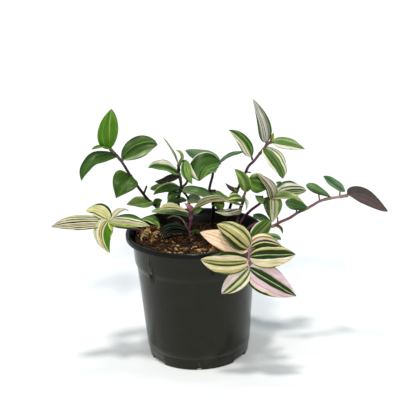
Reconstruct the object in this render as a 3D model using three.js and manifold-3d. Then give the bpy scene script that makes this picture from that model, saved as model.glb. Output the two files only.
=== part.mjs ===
// A variegated small-leaf spiderwort (Tradescantia) in a round plastic nursery pot.
// Millimetres, +Z up. The origin is on the pot's axis at the level it stands on,
// +X to the right and +Y away from the front.
// Every leafy stem is one body: its stem, side shoots, buds and blades grown together.

import * as THREE from 'three';
import { mergeVertices } from 'three/addons/utils/BufferGeometryUtils.js';
import Module from 'manifold-3d';

const wasm = await Module();
wasm.setup();

// Driving dimensions of the pot, from the floor up
const POT_HEIGHT = 113;
const WALL = 1.3;
const FLOOR = 1.7;
const BASE_RADIUS = 43.8;
const FOOT_RADIUS = 45.1;
const FOOT_HEIGHT = 10.5;
const FOOT_STEP = 0.6;
const BODY_RADIUS_LOW = 45.6;
const BODY_RADIUS_HIGH = 51.8;
const LEDGE_HEIGHT = 85;
const COLLAR_RADIUS_LOW = 53.4;
const COLLAR_RADIUS_HIGH = 53.9;
const COLLAR_SLOPE = 5;
const LIP_RADIUS = 60;
const LIP_HEIGHT = 4.6;
const LIP_ROUNDING = 0.6;
const MOUTH_RADIUS = 57;
const LIP_UNDER = POT_HEIGHT - LIP_HEIGHT;
const POT_SEGMENTS = 40;

// Drains through the foot of the wall: four wide ones, and a notch between each two
const DRAIN_DEPTH = 9;
const DRAINS = [
  { width: 18, height: 3.2, degrees: [-145, -35, 35, 145] },
  { width: 3.5, height: 2.6, degrees: [-90, 0, 90, 180] },
];

// Driving dimensions of the soil
const SOIL_LEVEL = 104;
const SOIL_HEAP = 3.5;
const SOIL_GAP = 0.3;
const SOIL_SEGMENTS = 32;
const SOIL_ROUGHNESS = 1;
const HOLE_CLEARANCE = 0.6;
const CHIP_COUNT = 26;
const CHIP_SMALLEST = [3, 1.5, 1.2];
const CHIP_LARGEST = [6, 3, 2];

// Driving dimensions of the plant
const BLADE_THICKNESS = 0.8;
const BLADE_FULLNESS = 1.5;
const BLADE_BULGE = 0.3;
const BLADE_WIDEST_AT = 0.38;
const BLADE_ROWS = [0, 0.08, 0.28, 0.54, 0.8, 1];
const BLADE_COLUMNS = [-1, -0.5, 0, 0.5, 1];
const STEM_RADIUS = 1.4;
const STEM_SIDES = 6;
const STEM_STEP = 9;

const MATERIALS = {
  plastic: { color: 0x32332d, roughness: 0.5, metalness: 0 },
  soil: { color: 0x2a190e, roughness: 1, metalness: 0 },
  green: { color: 0x4b7a37, roughness: 0.5, metalness: 0 },
  striped: { color: 0x9fae70, roughness: 0.5, metalness: 0 },
  rose: { color: 0xd9bfae, roughness: 0.5, metalness: 0 },
};

// A stem's route starts in the soil. A blade is its base, the middle of its midrib, its tip,
// the way its upper face looks, its width, how far its halves fold up in degrees, and
// where along the midrib it is widest if that isn't the usual place, a pair if its halves differ.
const STEMS = {
  stem_left_tall: {
    material: 'green',
    route: [[-26, 40, 90], [-26, 40, 106], [-32, 34, 122], [-39, 28, 131], [-46, 22, 143],
      [-54, 16, 159], [-61, 9, 175], [-69, 4, 187]],
    shoots: [
      { radius: 1.0, route: [[-43.8, 24, 139.6], [-42.6, 23.5, 142.6], [-41, 23, 146.6]] },
      { radius: 0.8, route: [[-60, 9, 173], [-59, 9, 179]] },
    ],
    blades: [
      [[-69.5, 4, 187], [-69.5, 1, 206], [-66, 4, 222], [0, -0.97, 0.25], 18, 8, [0.3, 0.5]],
      [[-68.5, 4, 186.5], [-76.3, 0, 190.6], [-84.1, -4, 189], [0, -0.1, 0.98], 9, 4],
      [[-64, 6, 180], [-84.5, -2, 178.5], [-94, -8, 163], [-0.3, -0.45, 0.85], 17.5, 6],
      [[-60, 9, 176], [-44, 12, 186], [-29, 12, 187], [0.05, -0.9, 0.4], 19, 10, 0.45],
      [[-54.5, 16, 159], [-61, 7.5, 153], [-67, 6, 142], [-0.15, -0.95, 0.3], 23, 8, 0.26],
      [[-38, 28, 131], [-47, 18, 133], [-58.5, 8, 135.5], [0, -0.6, 0.8], 15, 12],
      [[-34, 32, 125], [-32, 30, 129], [-28, 28, 132], [0, -0.8, 0.6], 9, 10],
    ],
  },
  stem_left_rim: {
    material: 'striped',
    route: [[-44, 10, 90], [-44, 10, 108], [-49, 4, 113], [-55, -2, 117], [-60, -8, 120],
      [-67, -15, 124], [-72, -22, 131]],
    shoots: [{ radius: 0.9, route: [[-45, 9, 110], [-45, 3, 118], [-44, -6, 127]] }],
    blades: [
      [[-71, -21, 129], [-97, -28, 132], [-119, -34, 132], [-0.05, -0.5, 0.86], 17, 10, 0.42],
      [[-71, -19, 132], [-81, -14, 138], [-92, -10, 137], [0, -0.5, 0.86], 15, 14],
      [[-72, -24, 132], [-76, -33, 122], [-71, -37, 108], [-0.1, -0.9, 0.4], 17, 14, 0.32],
      [[-70, -23, 132], [-52, -36, 134], [-36, -46, 134], [0.1, -0.45, 0.88], 17, 12, 0.32],
      [[-71, -21, 130], [-62, -12, 137], [-55, -10, 135], [0.1, 0.1, 1], 8, 10],
      [[-44, -5, 126], [-36, -10, 126.5], [-29, -16, 122], [0.2, -0.4, 0.9], 10, 12],
      [[-71, -24, 132], [-69, -33, 130], [-68, -37, 127], [0, -0.6, 0.8], 4, 10],
    ],
  },
  stem_centre_left: {
    material: 'green',
    route: [[-11, 36, 90], [-11, 36, 107], [-14, 31, 130], [-11, 29, 143], [-11, 26, 150],
      [-12, 23, 158], [-12, 20, 167]],
    shoots: [
      { radius: 1.2, route: [[-11, 29, 142], [-6, 31, 146], [-5, 32, 149]] },
      { radius: 1.2, route: [[-5, 36, 90], [-5, 36, 107], [-5, 33, 118], [-5, 31, 131],
        [-8, 30, 137], [-11, 29, 141]] },
      { radius: 0.8, route: [[-12, 21, 163], [-9, 16, 170], [-5.5, 10, 172.5]] },
    ],
    blades: [
      [[-12, 20, 166], [-17, 17, 180], [-24.5, 14, 193.5], [0.85, -0.15, 0.5], 5.5, 10],
      [[-12, 20, 166], [-9, 18, 175.5], [-14, 15, 181], [0.6, -0.6, 0.5], 5, 10],
      [[-12, 23, 157], [-25.5, 15, 166], [-38, 8, 168], [0, -0.45, 0.89], 17, 14],
      [[-11, 25, 154], [-21.5, 16, 153.5], [-33, 8, 155.5], [-0.1, 0.75, 0.66], 16, 12],
      [[-11, 29, 142], [-23, 20, 145], [-35, 12, 142], [0, -0.35, 0.94], 13, 14],
      [[-12, 30, 140], [-30, 36, 140.5], [-38.5, 36, 139.5], [0, -0.4, 0.9], 12, 12],
      [[-13, 31, 138], [-18, 25, 137], [-23, 20, 133], [-0.3, -0.5, 0.8], 11, 12],
      [[-7, 31, 131], [-16, 24, 131], [-24, 16, 132], [0, -0.25, 0.97], 12, 12],
      [[-5.5, 10, 172.5], [-4.5, 1, 164.5], [-0.5, -2, 155], [-0.4, -0.85, 0.3], 10, 12],
      [[-10, 29, 141], [5, 19, 140.5], [18, 9, 138], [0.1, -0.35, 0.93], 14, 12],
      [[-5, 10, 172], [-2, 3, 165], [5, -1, 158], [-0.4, -0.8, 0.4], 7, 10],
      [[-5.5, 31, 130.5], [0, 28, 131.5], [8, 22, 129.5], [0, -0.6, 0.8], 12, 12],
    ],
  },
  stem_centre: {
    material: 'green',
    route: [[16, 38, 90], [16, 38, 106], [17, 33, 117], [17, 28, 126], [16, 25, 134.5],
      [14, 22, 140.5], [15, 21, 147], [17, 20, 154], [18, 19, 159], [21, 18, 164], [24, 17, 168]],
    shoots: [{ radius: 1.1, route: [[15, 22, 141], [19, 19, 142]] }],
    blades: [
      [[24, 17, 168], [8, 25, 171.5], [-6, 32, 176], [0, -0.6, 0.8], 15, 12],
      [[24, 17, 168], [10, 8, 167.5], [5.5, 1, 156.5], [-0.38, -0.82, 0.42], 24.5, 8, 0.48],
      [[24, 17, 168], [34.5, 20, 173], [48, 22, 176], [-0.3, 0, 0.95], 12, 10],
      [[15, 23, 139], [24, 20, 134], [34, 18, 131.5], [0, -0.3, 0.95], 13, 12],
      [[17, 28, 127], [22, 20, 128], [22, 14, 123], [0.2, -0.8, 0.55], 11, 12],
    ],
  },
  stem_right_tall: {
    material: 'green',
    route: [[29, 37, 90], [29, 37, 106], [31, 32, 118], [33, 26, 127], [36, 22, 135],
      [39, 18, 143], [41, 16, 148], [44, 14, 154], [46, 12, 160], [49, 11, 166], [53, 10, 170],
      [57.5, 9, 176], [61.5, 8, 181], [65, 7, 186], [69, 6, 188]],
    shoots: [
      { radius: 0.7, route: [[64, 8, 184], [64, 8, 190]] },
      { radius: 0.7, route: [[52, 10, 171], [51, 10, 175]] },
      { radius: 0.7, route: [[47, 12, 160], [50, 10, 160]] },
    ],
    blades: [
      [[64, 8, 187], [61.2, 5, 205], [52.8, 8, 225.5], [0.1, -0.95, 0.3], 12, 8, [0.3, 0.42]],
      [[69, 6, 187], [83, 12, 183], [98, 18, 177], [0, -0.75, 0.65], 12.5, 20],
      [[68, 6, 187], [69, 4, 192], [70, 3, 197], [0, -1, 0.2], 3.5, 8],
      [[61, 8, 182], [72.3, 2, 168.6], [77, -2, 157], [0.5, -0.8, 0.3], 18, 20],
      [[51, 10, 174], [44.6, 8, 188], [32, 8, 199], [-0.3, -0.9, 0.3], 11.5, 10, [0.32, 0.48]],
      [[38, 18, 142], [33, 14, 145], [28, 12, 151], [0.2, -0.9, 0.3], 4, 4],
      [[39, 18, 142], [37, 15, 144], [36, 14, 146], [0, -0.9, 0.3], 4, 8],
    ],
  },
  stem_right_short: {
    material: 'striped',
    route: [[37, 22, 90], [37, 22, 107], [41, 21, 124], [43, 19, 130], [44, 17, 136],
      [46, 16, 142]],
    shoots: [{ radius: 0.9, route: [[46, 16, 141], [48, 14, 147], [48, 13, 152]] }],
    blades: [
      [[46, 16, 141], [44, 9, 154], [36, 6, 165], [-0.1, -0.95, 0.3], 11, 10],
      [[48, 14, 150], [57, 15, 148], [65, 22, 141], [0, -0.9, 0.4], 18, 10],
      [[44, 17, 136], [46, 13, 131], [45, 11, 125], [0.85, -0.3, 0.3], 6, 12],
      [[43, 18, 133], [37, 9, 138], [29, 5, 137], [0, -0.6, 0.8], 13, 12],
      [[42, 20, 127], [36, 14, 131], [26, 8, 136], [0, -0.3, 0.95], 9, 12],
      [[41, 21, 123], [30, 10, 123], [18, 2, 128], [0, -0.3, 0.95], 12, 12],
    ],
  },
  stem_right_low: {
    material: 'striped',
    route: [[40, 28, 90], [40, 28, 106], [45, 30, 113], [51, 28, 120], [57, 26, 125],
      [62, 24, 130], [69, 21, 133]],
    shoots: [{ radius: 0.9, route: [[69, 21, 133], [74, 21, 138]] }],
    blades: [
      [[69, 21, 132], [65.5, 14, 146.5], [54.5, 8, 160], [0.35, -0.85, 0.4], 12, 14, 0.3],
      [[69, 21, 133], [82.5, 14, 136], [98.5, 6, 128.5], [0, -0.5, 0.86], 11, 12, 0.3],
      [[73, 21, 137], [87.5, 22, 139], [100, 26, 136.5], [0.1, -0.8, 0.6], 14, 10],
      [[74, 21, 138], [83.5, 28, 140.5], [94.5, 32, 139.5], [0, -0.8, 0.6], 11, 12],
      [[74, 21, 138], [77, 26, 142], [73, 30, 144], [0, -0.8, 0.6], 8, 12],
      [[69, 21, 132], [69, 12, 126], [68, 6, 115], [0, -0.95, 0.3], 17, 12, 0.35],
      [[63, 24, 130], [59, 22, 131], [54, 20, 136], [0, -0.8, 0.6], 8, 12],
    ],
  },
  stem_far_right: {
    material: 'green',
    route: [[44, 6, 90], [44, 6, 106], [52, 5, 114], [60, 2, 116], [67, -4, 115], [74, -5, 119],
      [82.5, -6, 123], [89.5, -6, 127.5], [95, -6, 130], [101, -6, 133], [108, -6, 137],
      [115, -6, 139], [122, -6, 140], [132, -5, 141]],
    shoots: [
      { radius: 0.7, route: [[126, -3, 146], [125, -6, 140]] },
      { radius: 0.7, route: [[107, -7, 144.5], [108, -6, 137]] },
      { radius: 0.7, route: [[88, -8, 132], [88, -6, 126]] },
      { radius: 0.7, route: [[72, -4, 117], [72, -4, 123]] },
    ],
    blades: [
      [[132, -5, 141.5], [147.2, -9, 140.2], [165.8, -13, 128.3], [0.1, 0.95, 0.3], 16.5, 8, [0.56, 0.26]],
      [[130, -4, 144], [121.5, 0, 150.2], [112, 2, 157], [-0.2, -0.5, 0.85], 8.8, 8, 0.5],
      [[118, -6, 140], [107.7, -8, 146.8], [96.6, -6, 152.2], [-0.2, -0.6, 0.8], 8.5, 10, 0.66],
      [[98, -6, 132], [88.3, -9, 135], [78.5, -8, 138.6], [-0.1, -0.7, 0.7], 10.5, 8, 0.6],
      [[70, -5, 116], [74, -6, 114], [76, -8, 109], [0.5, -0.5, 0.5], 4, 10],
      [[61, 2, 116], [58, 14, 116.5], [52.5, 26, 116.5], [0.3, -0.8, 0.5], 13, 10],
    ],
  },
  stem_front_right: {
    material: 'rose',
    route: [[40, -18, 90], [40, -18, 106], [44, -30, 114], [46, -40, 116], [46, -48, 116],
      [45, -53, 112], [45, -57, 108], [43, -60, 104], [44, -62, 99]],
    shoots: [{ radius: 1.0, route: [[46, -44, 116], [48, -41, 119]] }],
    blades: [
      [[45, -51, 114], [33, -54, 128], [19, -49, 134.5], [0, -0.75, 0.66], 20, 10],
      [[44, -53, 112], [23.5, -49, 120.5], [5, -42, 125.5], [0, -0.8, 0.6], 18, 8],
      [[44, -59, 105], [22, -66, 107], [5, -66, 111], [0, -0.9, 0.43], 19, 10],
      [[44, -61, 100], [32, -68, 91], [21, -66, 80], [0, -0.95, 0.3], 17, 12],
      [[44, -61, 100], [61, -68, 90], [82, -72, 78], [0, -0.95, 0.3], 25, 10],
      [[45, -57, 108], [65, -64, 111], [82, -68, 113], [0, -0.9, 0.43], 20, 12],
      [[46, -51, 114], [57, -50, 119], [72, -50, 114], [0, -0.6, 0.8], 13, 12],
      [[47, -42, 118], [57, -34, 124], [65, -28, 130], [0.2, -0.9, 0.4], 14, 10],
      [[48, -42, 118], [64.5, -46, 120.5], [71.5, -48, 118.5], [0, -0.8, 0.6], 7, 12],
    ],
  },
  stem_front_centre: {
    material: 'striped',
    route: [[-4, 6, 90], [-4, 6, 106], [-5, 5, 110], [-4, 2, 116], [-3, 0, 122], [-3, -3, 130]],
    shoots: [
      { radius: 0.8, route: [[-4, 5, 108], [-7, 3, 115], [-9, 4, 119], [-12, 6, 122],
        [-16, 8, 123], [-19, 9, 123], [-23, 10, 121]] },
    ],
    blades: [
      [[-3, -3, 129], [-3, -6, 135], [-8, -7, 140], [0, -0.9, 0.3], 6, 20],
      [[-4, -3, 129], [-17, -14, 138], [-29, -22, 140], [0, -0.3, 0.95], 14, 12],
      [[-2, -3, 130], [12, -14, 143], [29, -22, 146], [0, -0.35, 0.93], 15, 12],
      [[-3.5, 0, 125.5], [-22.5, -8, 133], [-36.5, -12, 134.5], [0, -0.25, 0.97], 12, 12],
      [[-3, -2, 128], [2, 4, 129], [8, 8, 130], [0, -0.6, 0.8], 8, 12],
      [[-5, 4, 110], [-19.5, -2, 117], [-31, -8, 112.5], [0, -0.3, 0.95], 9, 12],
      [[-5, 5, 108], [-17, -4, 114], [-28, -10, 109.5], [0, -0.3, 0.95], 9, 12],
      [[-4, 5, 108], [1, 2, 110], [6, -2, 108], [0, -0.4, 0.9], 5, 12],
    ],
  },
};

// A closed solid from a geometry whose faces share no corners yet
function toSolid(geometry) {
  const bare = geometry.clone();
  bare.deleteAttribute('normal');
  bare.deleteAttribute('uv');
  const merged = mergeVertices(bare, 1e-4);
  const corners = merged.index.array;
  const whole = [];
  for (let at = 0; at < corners.length; at += 3) {
    const [a, b, c] = corners.slice(at, at + 3);
    if (a !== b && b !== c && c !== a) whole.push(a, b, c);
  }
  const vertProperties = new Float32Array(merged.attributes.position.array);
  const triVerts = new Uint32Array(whole);
  return new wasm.Manifold(new wasm.Mesh({ numProp: 3, vertProperties, triVerts }));
}

function toMesh(name, solid, material) {
  const { vertProperties, triVerts } = solid.getMesh();
  const geometry = new THREE.BufferGeometry();
  geometry.setAttribute('position', new THREE.BufferAttribute(new Float32Array(vertProperties), 3));
  geometry.setIndex(new THREE.BufferAttribute(new Uint32Array(triVerts), 1));
  geometry.computeVertexNormals();
  const mesh = new THREE.Mesh(geometry, new THREE.MeshStandardMaterial(MATERIALS[material]));
  mesh.name = name;
  return mesh;
}

function fuse(solids) {
  return solids.reduce((whole, next) => whole.add(next));
}

// A repeatable stream of draws between 0 and 1
function seededDraws(seed) {
  let state = seed;
  return () => {
    state = (Math.imul(state, 1664525) + 1013904223) >>> 0;
    return state / 4294967296;
  };
}

// A round rod along a smooth route
function rod(route, radius) {
  const curve = new THREE.CatmullRomCurve3(route.map((point) => new THREE.Vector3(...point)));
  const section = new THREE.Shape();
  section.absarc(0, 0, radius, 0, 2 * Math.PI);
  const steps = Math.max(route.length - 1, Math.round(curve.getLength() / STEM_STEP));
  const curveSegments = STEM_SIDES / 2;
  return new THREE.ExtrudeGeometry(section, {
    steps, curveSegments, bevelEnabled: false, extrudePath: curve,
  });
}

// Half the blade's width at a place along its midrib, as a share of the greatest half width
function bladeOutline(along, widest) {
  const rise = (along / widest) ** (widest * BLADE_FULLNESS);
  const fall = ((1 - along) / (1 - widest)) ** ((1 - widest) * BLADE_FULLNESS);
  return rise * fall;
}

// A thin leaf blade: its midrib is an arc from base to tip through the middle point,
// and its two halves are folded up from the midrib and slightly bulged
function blade([base, middle, tip, faceWay, width, foldDegrees, widest = BLADE_WIDEST_AT]) {
  const [start, centre, end] = [base, middle, tip].map((point) => new THREE.Vector3(...point));
  const bend = centre.clone().multiplyScalar(2).sub(start.clone().lerp(end, 0.5));
  const midrib = new THREE.QuadraticBezierCurve3(start, bend, end);
  const fold = THREE.MathUtils.degToRad(foldDegrees);
  const halves = Array.isArray(widest) ? widest : [widest, widest];
  const spot = (along, across, level) => {
    const tangent = midrib.getTangent(along);
    const face = new THREE.Vector3(...faceWay).projectOnPlane(tangent).normalize();
    const side = tangent.clone().cross(face);
    const half = (width / 2) * bladeOutline(along, halves[across > 0 ? 1 : 0]);
    const out = Math.abs(across);
    const lift = half * (out * Math.sin(fold) + BLADE_BULGE * out * (1 - out));
    return midrib.getPoint(along)
      .addScaledVector(side, half * across * Math.cos(fold))
      .addScaledVector(face, lift + level * BLADE_THICKNESS);
  };
  return closedSheet(BLADE_ROWS, BLADE_COLUMNS, spot);
}

// A closed thin solid whose upper and lower face have the same triangles
function closedSheet(rows, columns, spot) {
  const positions = [];
  const triangle = (...corners) => {
    for (const corner of corners) positions.push(...corner.toArray());
  };
  const square = (a, b, c, d) => {
    triangle(a, b, c);
    triangle(a, c, d);
  };
  const last = columns.length - 1;
  for (let row = 0; row < rows.length - 1; row += 1) {
    const [near, far] = [rows[row], rows[row + 1]];
    const edge = (column, level) => [near, far].map((along) => spot(along, columns[column], level));
    for (let column = 0; column < last; column += 1) {
      const [topNear, topFar] = edge(column, 0.5);
      const [topNextNear, topNextFar] = edge(column + 1, 0.5);
      const [underNear, underFar] = edge(column, -0.5);
      const [underNextNear, underNextFar] = edge(column + 1, -0.5);
      square(topNear, topNextNear, topNextFar, topFar);
      triangle(underNear, underNextFar, underNextNear);
      triangle(underNear, underFar, underNextFar);
    }
    const [leftNear, leftFar] = edge(0, 0.5);
    const [leftUnderNear, leftUnderFar] = edge(0, -0.5);
    const [rightNear, rightFar] = edge(last, 0.5);
    const [rightUnderNear, rightUnderFar] = edge(last, -0.5);
    square(leftUnderNear, leftNear, leftFar, leftUnderFar);
    square(rightNear, rightUnderNear, rightUnderFar, rightFar);
  }
  const geometry = new THREE.BufferGeometry();
  geometry.setAttribute('position', new THREE.BufferAttribute(new Float32Array(positions), 3));
  return geometry;
}

function leafyStem({ route, shoots, blades }) {
  const rods = [rod(route, STEM_RADIUS), ...shoots.map((shoot) => rod(shoot.route, shoot.radius))];
  return fuse([...rods, ...blades.map(blade)].map(toSolid));
}

// What the soil is cut by: each rooted rod's lower end, wider and deeper by the clearance
function stemHole({ route, shoots }) {
  const rods = [{ route, radius: STEM_RADIUS }, ...shoots];
  const rooted = rods.filter((part) => part.route[0][2] < SOIL_LEVEL - HOLE_CLEARANCE);
  return fuse(rooted.map((part) => {
    const [[x, y, foot], collar, above] = part.route;
    const socket = [[x, y, foot - HOLE_CLEARANCE], collar, above];
    return toSolid(rod(socket, part.radius + HOLE_CLEARANCE));
  }));
}

// The inner face of the pot's wall from the floor to the lip, as radius and height
const INNER_WALL = [
  [BASE_RADIUS - WALL, FLOOR],
  [BODY_RADIUS_LOW - WALL, FOOT_HEIGHT],
  [BODY_RADIUS_HIGH - WALL, LEDGE_HEIGHT],
  [COLLAR_RADIUS_LOW - WALL, LEDGE_HEIGHT + COLLAR_SLOPE],
  [COLLAR_RADIUS_HIGH - WALL, LIP_UNDER - WALL],
];

function turnedGeometry(outline, segments) {
  const profile = outline.map(([radius, height]) => new THREE.Vector2(radius, height));
  return new THREE.LatheGeometry(profile, segments).rotateX(Math.PI / 2);
}

// A block that cuts one drain through the foot of the wall and the edge of the floor
function drainBlock(degrees, width, height) {
  const length = DRAIN_DEPTH + WALL;
  const block = new THREE.BoxGeometry(length, width, height * 2);
  block.translate(FOOT_RADIUS + WALL - length / 2, 0, 0);
  return toSolid(block.rotateZ(THREE.MathUtils.degToRad(degrees)));
}

function pot() {
  const outline = [
    [0, 0],
    [BASE_RADIUS, 0],
    [FOOT_RADIUS, FOOT_HEIGHT],
    [BODY_RADIUS_LOW, FOOT_HEIGHT + FOOT_STEP],
    [BODY_RADIUS_HIGH, LEDGE_HEIGHT],
    [COLLAR_RADIUS_LOW, LEDGE_HEIGHT + COLLAR_SLOPE],
    [COLLAR_RADIUS_HIGH, LIP_UNDER - LIP_ROUNDING],
    [LIP_RADIUS - LIP_ROUNDING, LIP_UNDER],
    [LIP_RADIUS, LIP_UNDER + LIP_ROUNDING],
    [LIP_RADIUS, POT_HEIGHT - LIP_ROUNDING],
    [LIP_RADIUS - LIP_ROUNDING, POT_HEIGHT],
    [MOUTH_RADIUS + LIP_ROUNDING, POT_HEIGHT],
    [MOUTH_RADIUS, POT_HEIGHT - LIP_ROUNDING],
    ...[...INNER_WALL].reverse(),
    [0, FLOOR],
  ];
  let whole = toSolid(turnedGeometry(outline, POT_SEGMENTS));
  for (const { width, height, degrees } of DRAINS) {
    for (const angle of degrees) whole = whole.subtract(drainBlock(angle, width, height));
  }
  return whole;
}

// Height of the soil: heaped against the front-left wall and uneven all over
function soilHeight(x, y) {
  const heap = SOIL_HEAP * (-x - y) / (Math.SQRT2 * COLLAR_RADIUS_HIGH);
  const rough = Math.sin(x * 0.31 + 1) * Math.cos(y * 0.27) + 0.6 * Math.sin(x * 0.7 - y * 0.53);
  return SOIL_LEVEL + heap + SOIL_ROUGHNESS * rough;
}

// Bark chips and fibres half sunk in the surface, lying every way
function soilChips() {
  const draw = seededDraws(7);
  const chips = [];
  for (let count = 0; count < CHIP_COUNT; count += 1) {
    const angle = 2 * Math.PI * draw();
    const away = (COLLAR_RADIUS_HIGH - 8) * Math.sqrt(draw());
    const [x, y] = [away * Math.cos(angle), away * Math.sin(angle)];
    const size = CHIP_SMALLEST.map((least, axis) => least + (CHIP_LARGEST[axis] - least) * draw());
    const chip = new THREE.OctahedronGeometry(1);
    chip.scale(...size).rotateY(0.5 * (draw() - 0.5)).rotateZ(2 * Math.PI * draw());
    chips.push(toSolid(chip.translate(x, y, soilHeight(x, y))));
  }
  return chips;
}

// The filling of the pot, its top drawn down or up to the uneven surface, with stem holes
function soil() {
  const beside = INNER_WALL.slice(0, 4).map(([radius, height]) => [radius - SOIL_GAP, height]);
  const [bottomRadius] = beside[0];
  const [topRadius] = beside[3];
  const wallTop = SOIL_LEVEL + 1;
  const outline = [
    [0, FLOOR + SOIL_GAP],
    [bottomRadius, FLOOR + SOIL_GAP],
    ...beside.slice(1),
    ...[1, 0.8, 0.55, 0.28].map((share) => [topRadius * share, wallTop]),
    [0, wallTop],
  ];
  const body = turnedGeometry(outline, SOIL_SEGMENTS);
  const spots = body.attributes.position;
  for (let at = 0; at < spots.count; at += 1) {
    const [x, y, z] = [spots.getX(at), spots.getY(at), spots.getZ(at)];
    if (z > wallTop - 0.01) spots.setZ(at, soilHeight(x, y));
  }
  const holes = fuse(Object.values(STEMS).map(stemHole));
  return fuse([toSolid(body), ...soilChips()]).subtract(holes);
}

const group = new THREE.Group();
group.add(toMesh('pot', pot(), 'plastic'));
group.add(toMesh('soil', soil(), 'soil'));
for (const [name, stem] of Object.entries(STEMS)) {
  group.add(toMesh(name, leafyStem(stem), stem.material));
}

export default group;
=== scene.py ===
"""A variegated spiderwort (Tradescantia) in a black plastic nursery pot, on its fixed frame.

Places in the tables are millimetres in the frame: +X right, +Y away from the front, +Z up,
with the origin on the pot's axis at the level that it stands on. Blender works in metres.
"""

import itertools
import math
import random

import bmesh
import bpy
from bpy.props import FloatProperty, FloatVectorProperty, IntProperty, PointerProperty
from mathutils import Matrix, Vector, noise


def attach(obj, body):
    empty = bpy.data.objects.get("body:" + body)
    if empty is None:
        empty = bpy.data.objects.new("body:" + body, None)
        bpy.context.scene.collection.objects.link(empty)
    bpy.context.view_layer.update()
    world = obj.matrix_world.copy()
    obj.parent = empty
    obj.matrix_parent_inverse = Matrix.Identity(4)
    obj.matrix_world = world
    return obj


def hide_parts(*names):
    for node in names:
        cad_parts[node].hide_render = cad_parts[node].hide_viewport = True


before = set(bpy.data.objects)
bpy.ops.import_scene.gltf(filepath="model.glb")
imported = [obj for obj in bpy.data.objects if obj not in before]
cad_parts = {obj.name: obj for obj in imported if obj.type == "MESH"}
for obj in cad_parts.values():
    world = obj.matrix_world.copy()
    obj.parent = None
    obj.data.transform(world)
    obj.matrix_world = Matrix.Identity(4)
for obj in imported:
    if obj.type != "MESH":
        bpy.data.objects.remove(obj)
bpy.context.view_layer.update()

bl_info = {
    "name": "Potted Tradescantia",
    "version": (1, 0, 0),
    "blender": (4, 5, 0),
    "location": "3D View > Sidebar > Plant",
    "description": "Builds a variegated spiderwort in its nursery pot",
    "category": "Add Mesh",
}

MM = 0.001


def linear(colour):
    """The linear values of an sRGB colour written in hex."""
    shares = [int(colour[at:at + 2], 16) / 255 for at in (0, 2, 4)]
    return tuple(v / 12.92 if v <= 0.04045 else ((v + 0.055) / 1.055) ** 2.4 for v in shares)


# Colours of the living tissue, by the name that the blades' stripes use; the near-black green
# 0d160f is a dark green darkened with painted shade
LEAF_COLOURS = {
    "ink": "1c2b08", "night": "0d160f", "forest": "24410c", "moss": "39591f",
    "green": "486b26", "bright": "457608", "leaf": "688a40", "lime": "98ac50",
    "pale": "a8ba88", "sea": "5c7c50", "slate": "3b5b42", "sage": "869673",
    "silver": "b0aea4", "smoke": "62645a", "pebble": "8c8779", "taupe": "9a9084",
    "olive": "6c7028", "straw": "aea46a", "cream": "cdc496", "butter": "d2d284",
    "ivory": "dfd8c4", "peach": "efcfaf", "gold": "b99f5c", "blush": "d2bbaa",
    "pearl": "d8c8c0", "lilac": "d2b8c0", "mauve": "c09ca8", "rose": "b87f93",
    "magenta": "93456b", "mulberry": "5c4648", "plum": "443438", "bark": "1d130d",
    "umber": "4c3b33", "deep": "1a3003",
}

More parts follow.
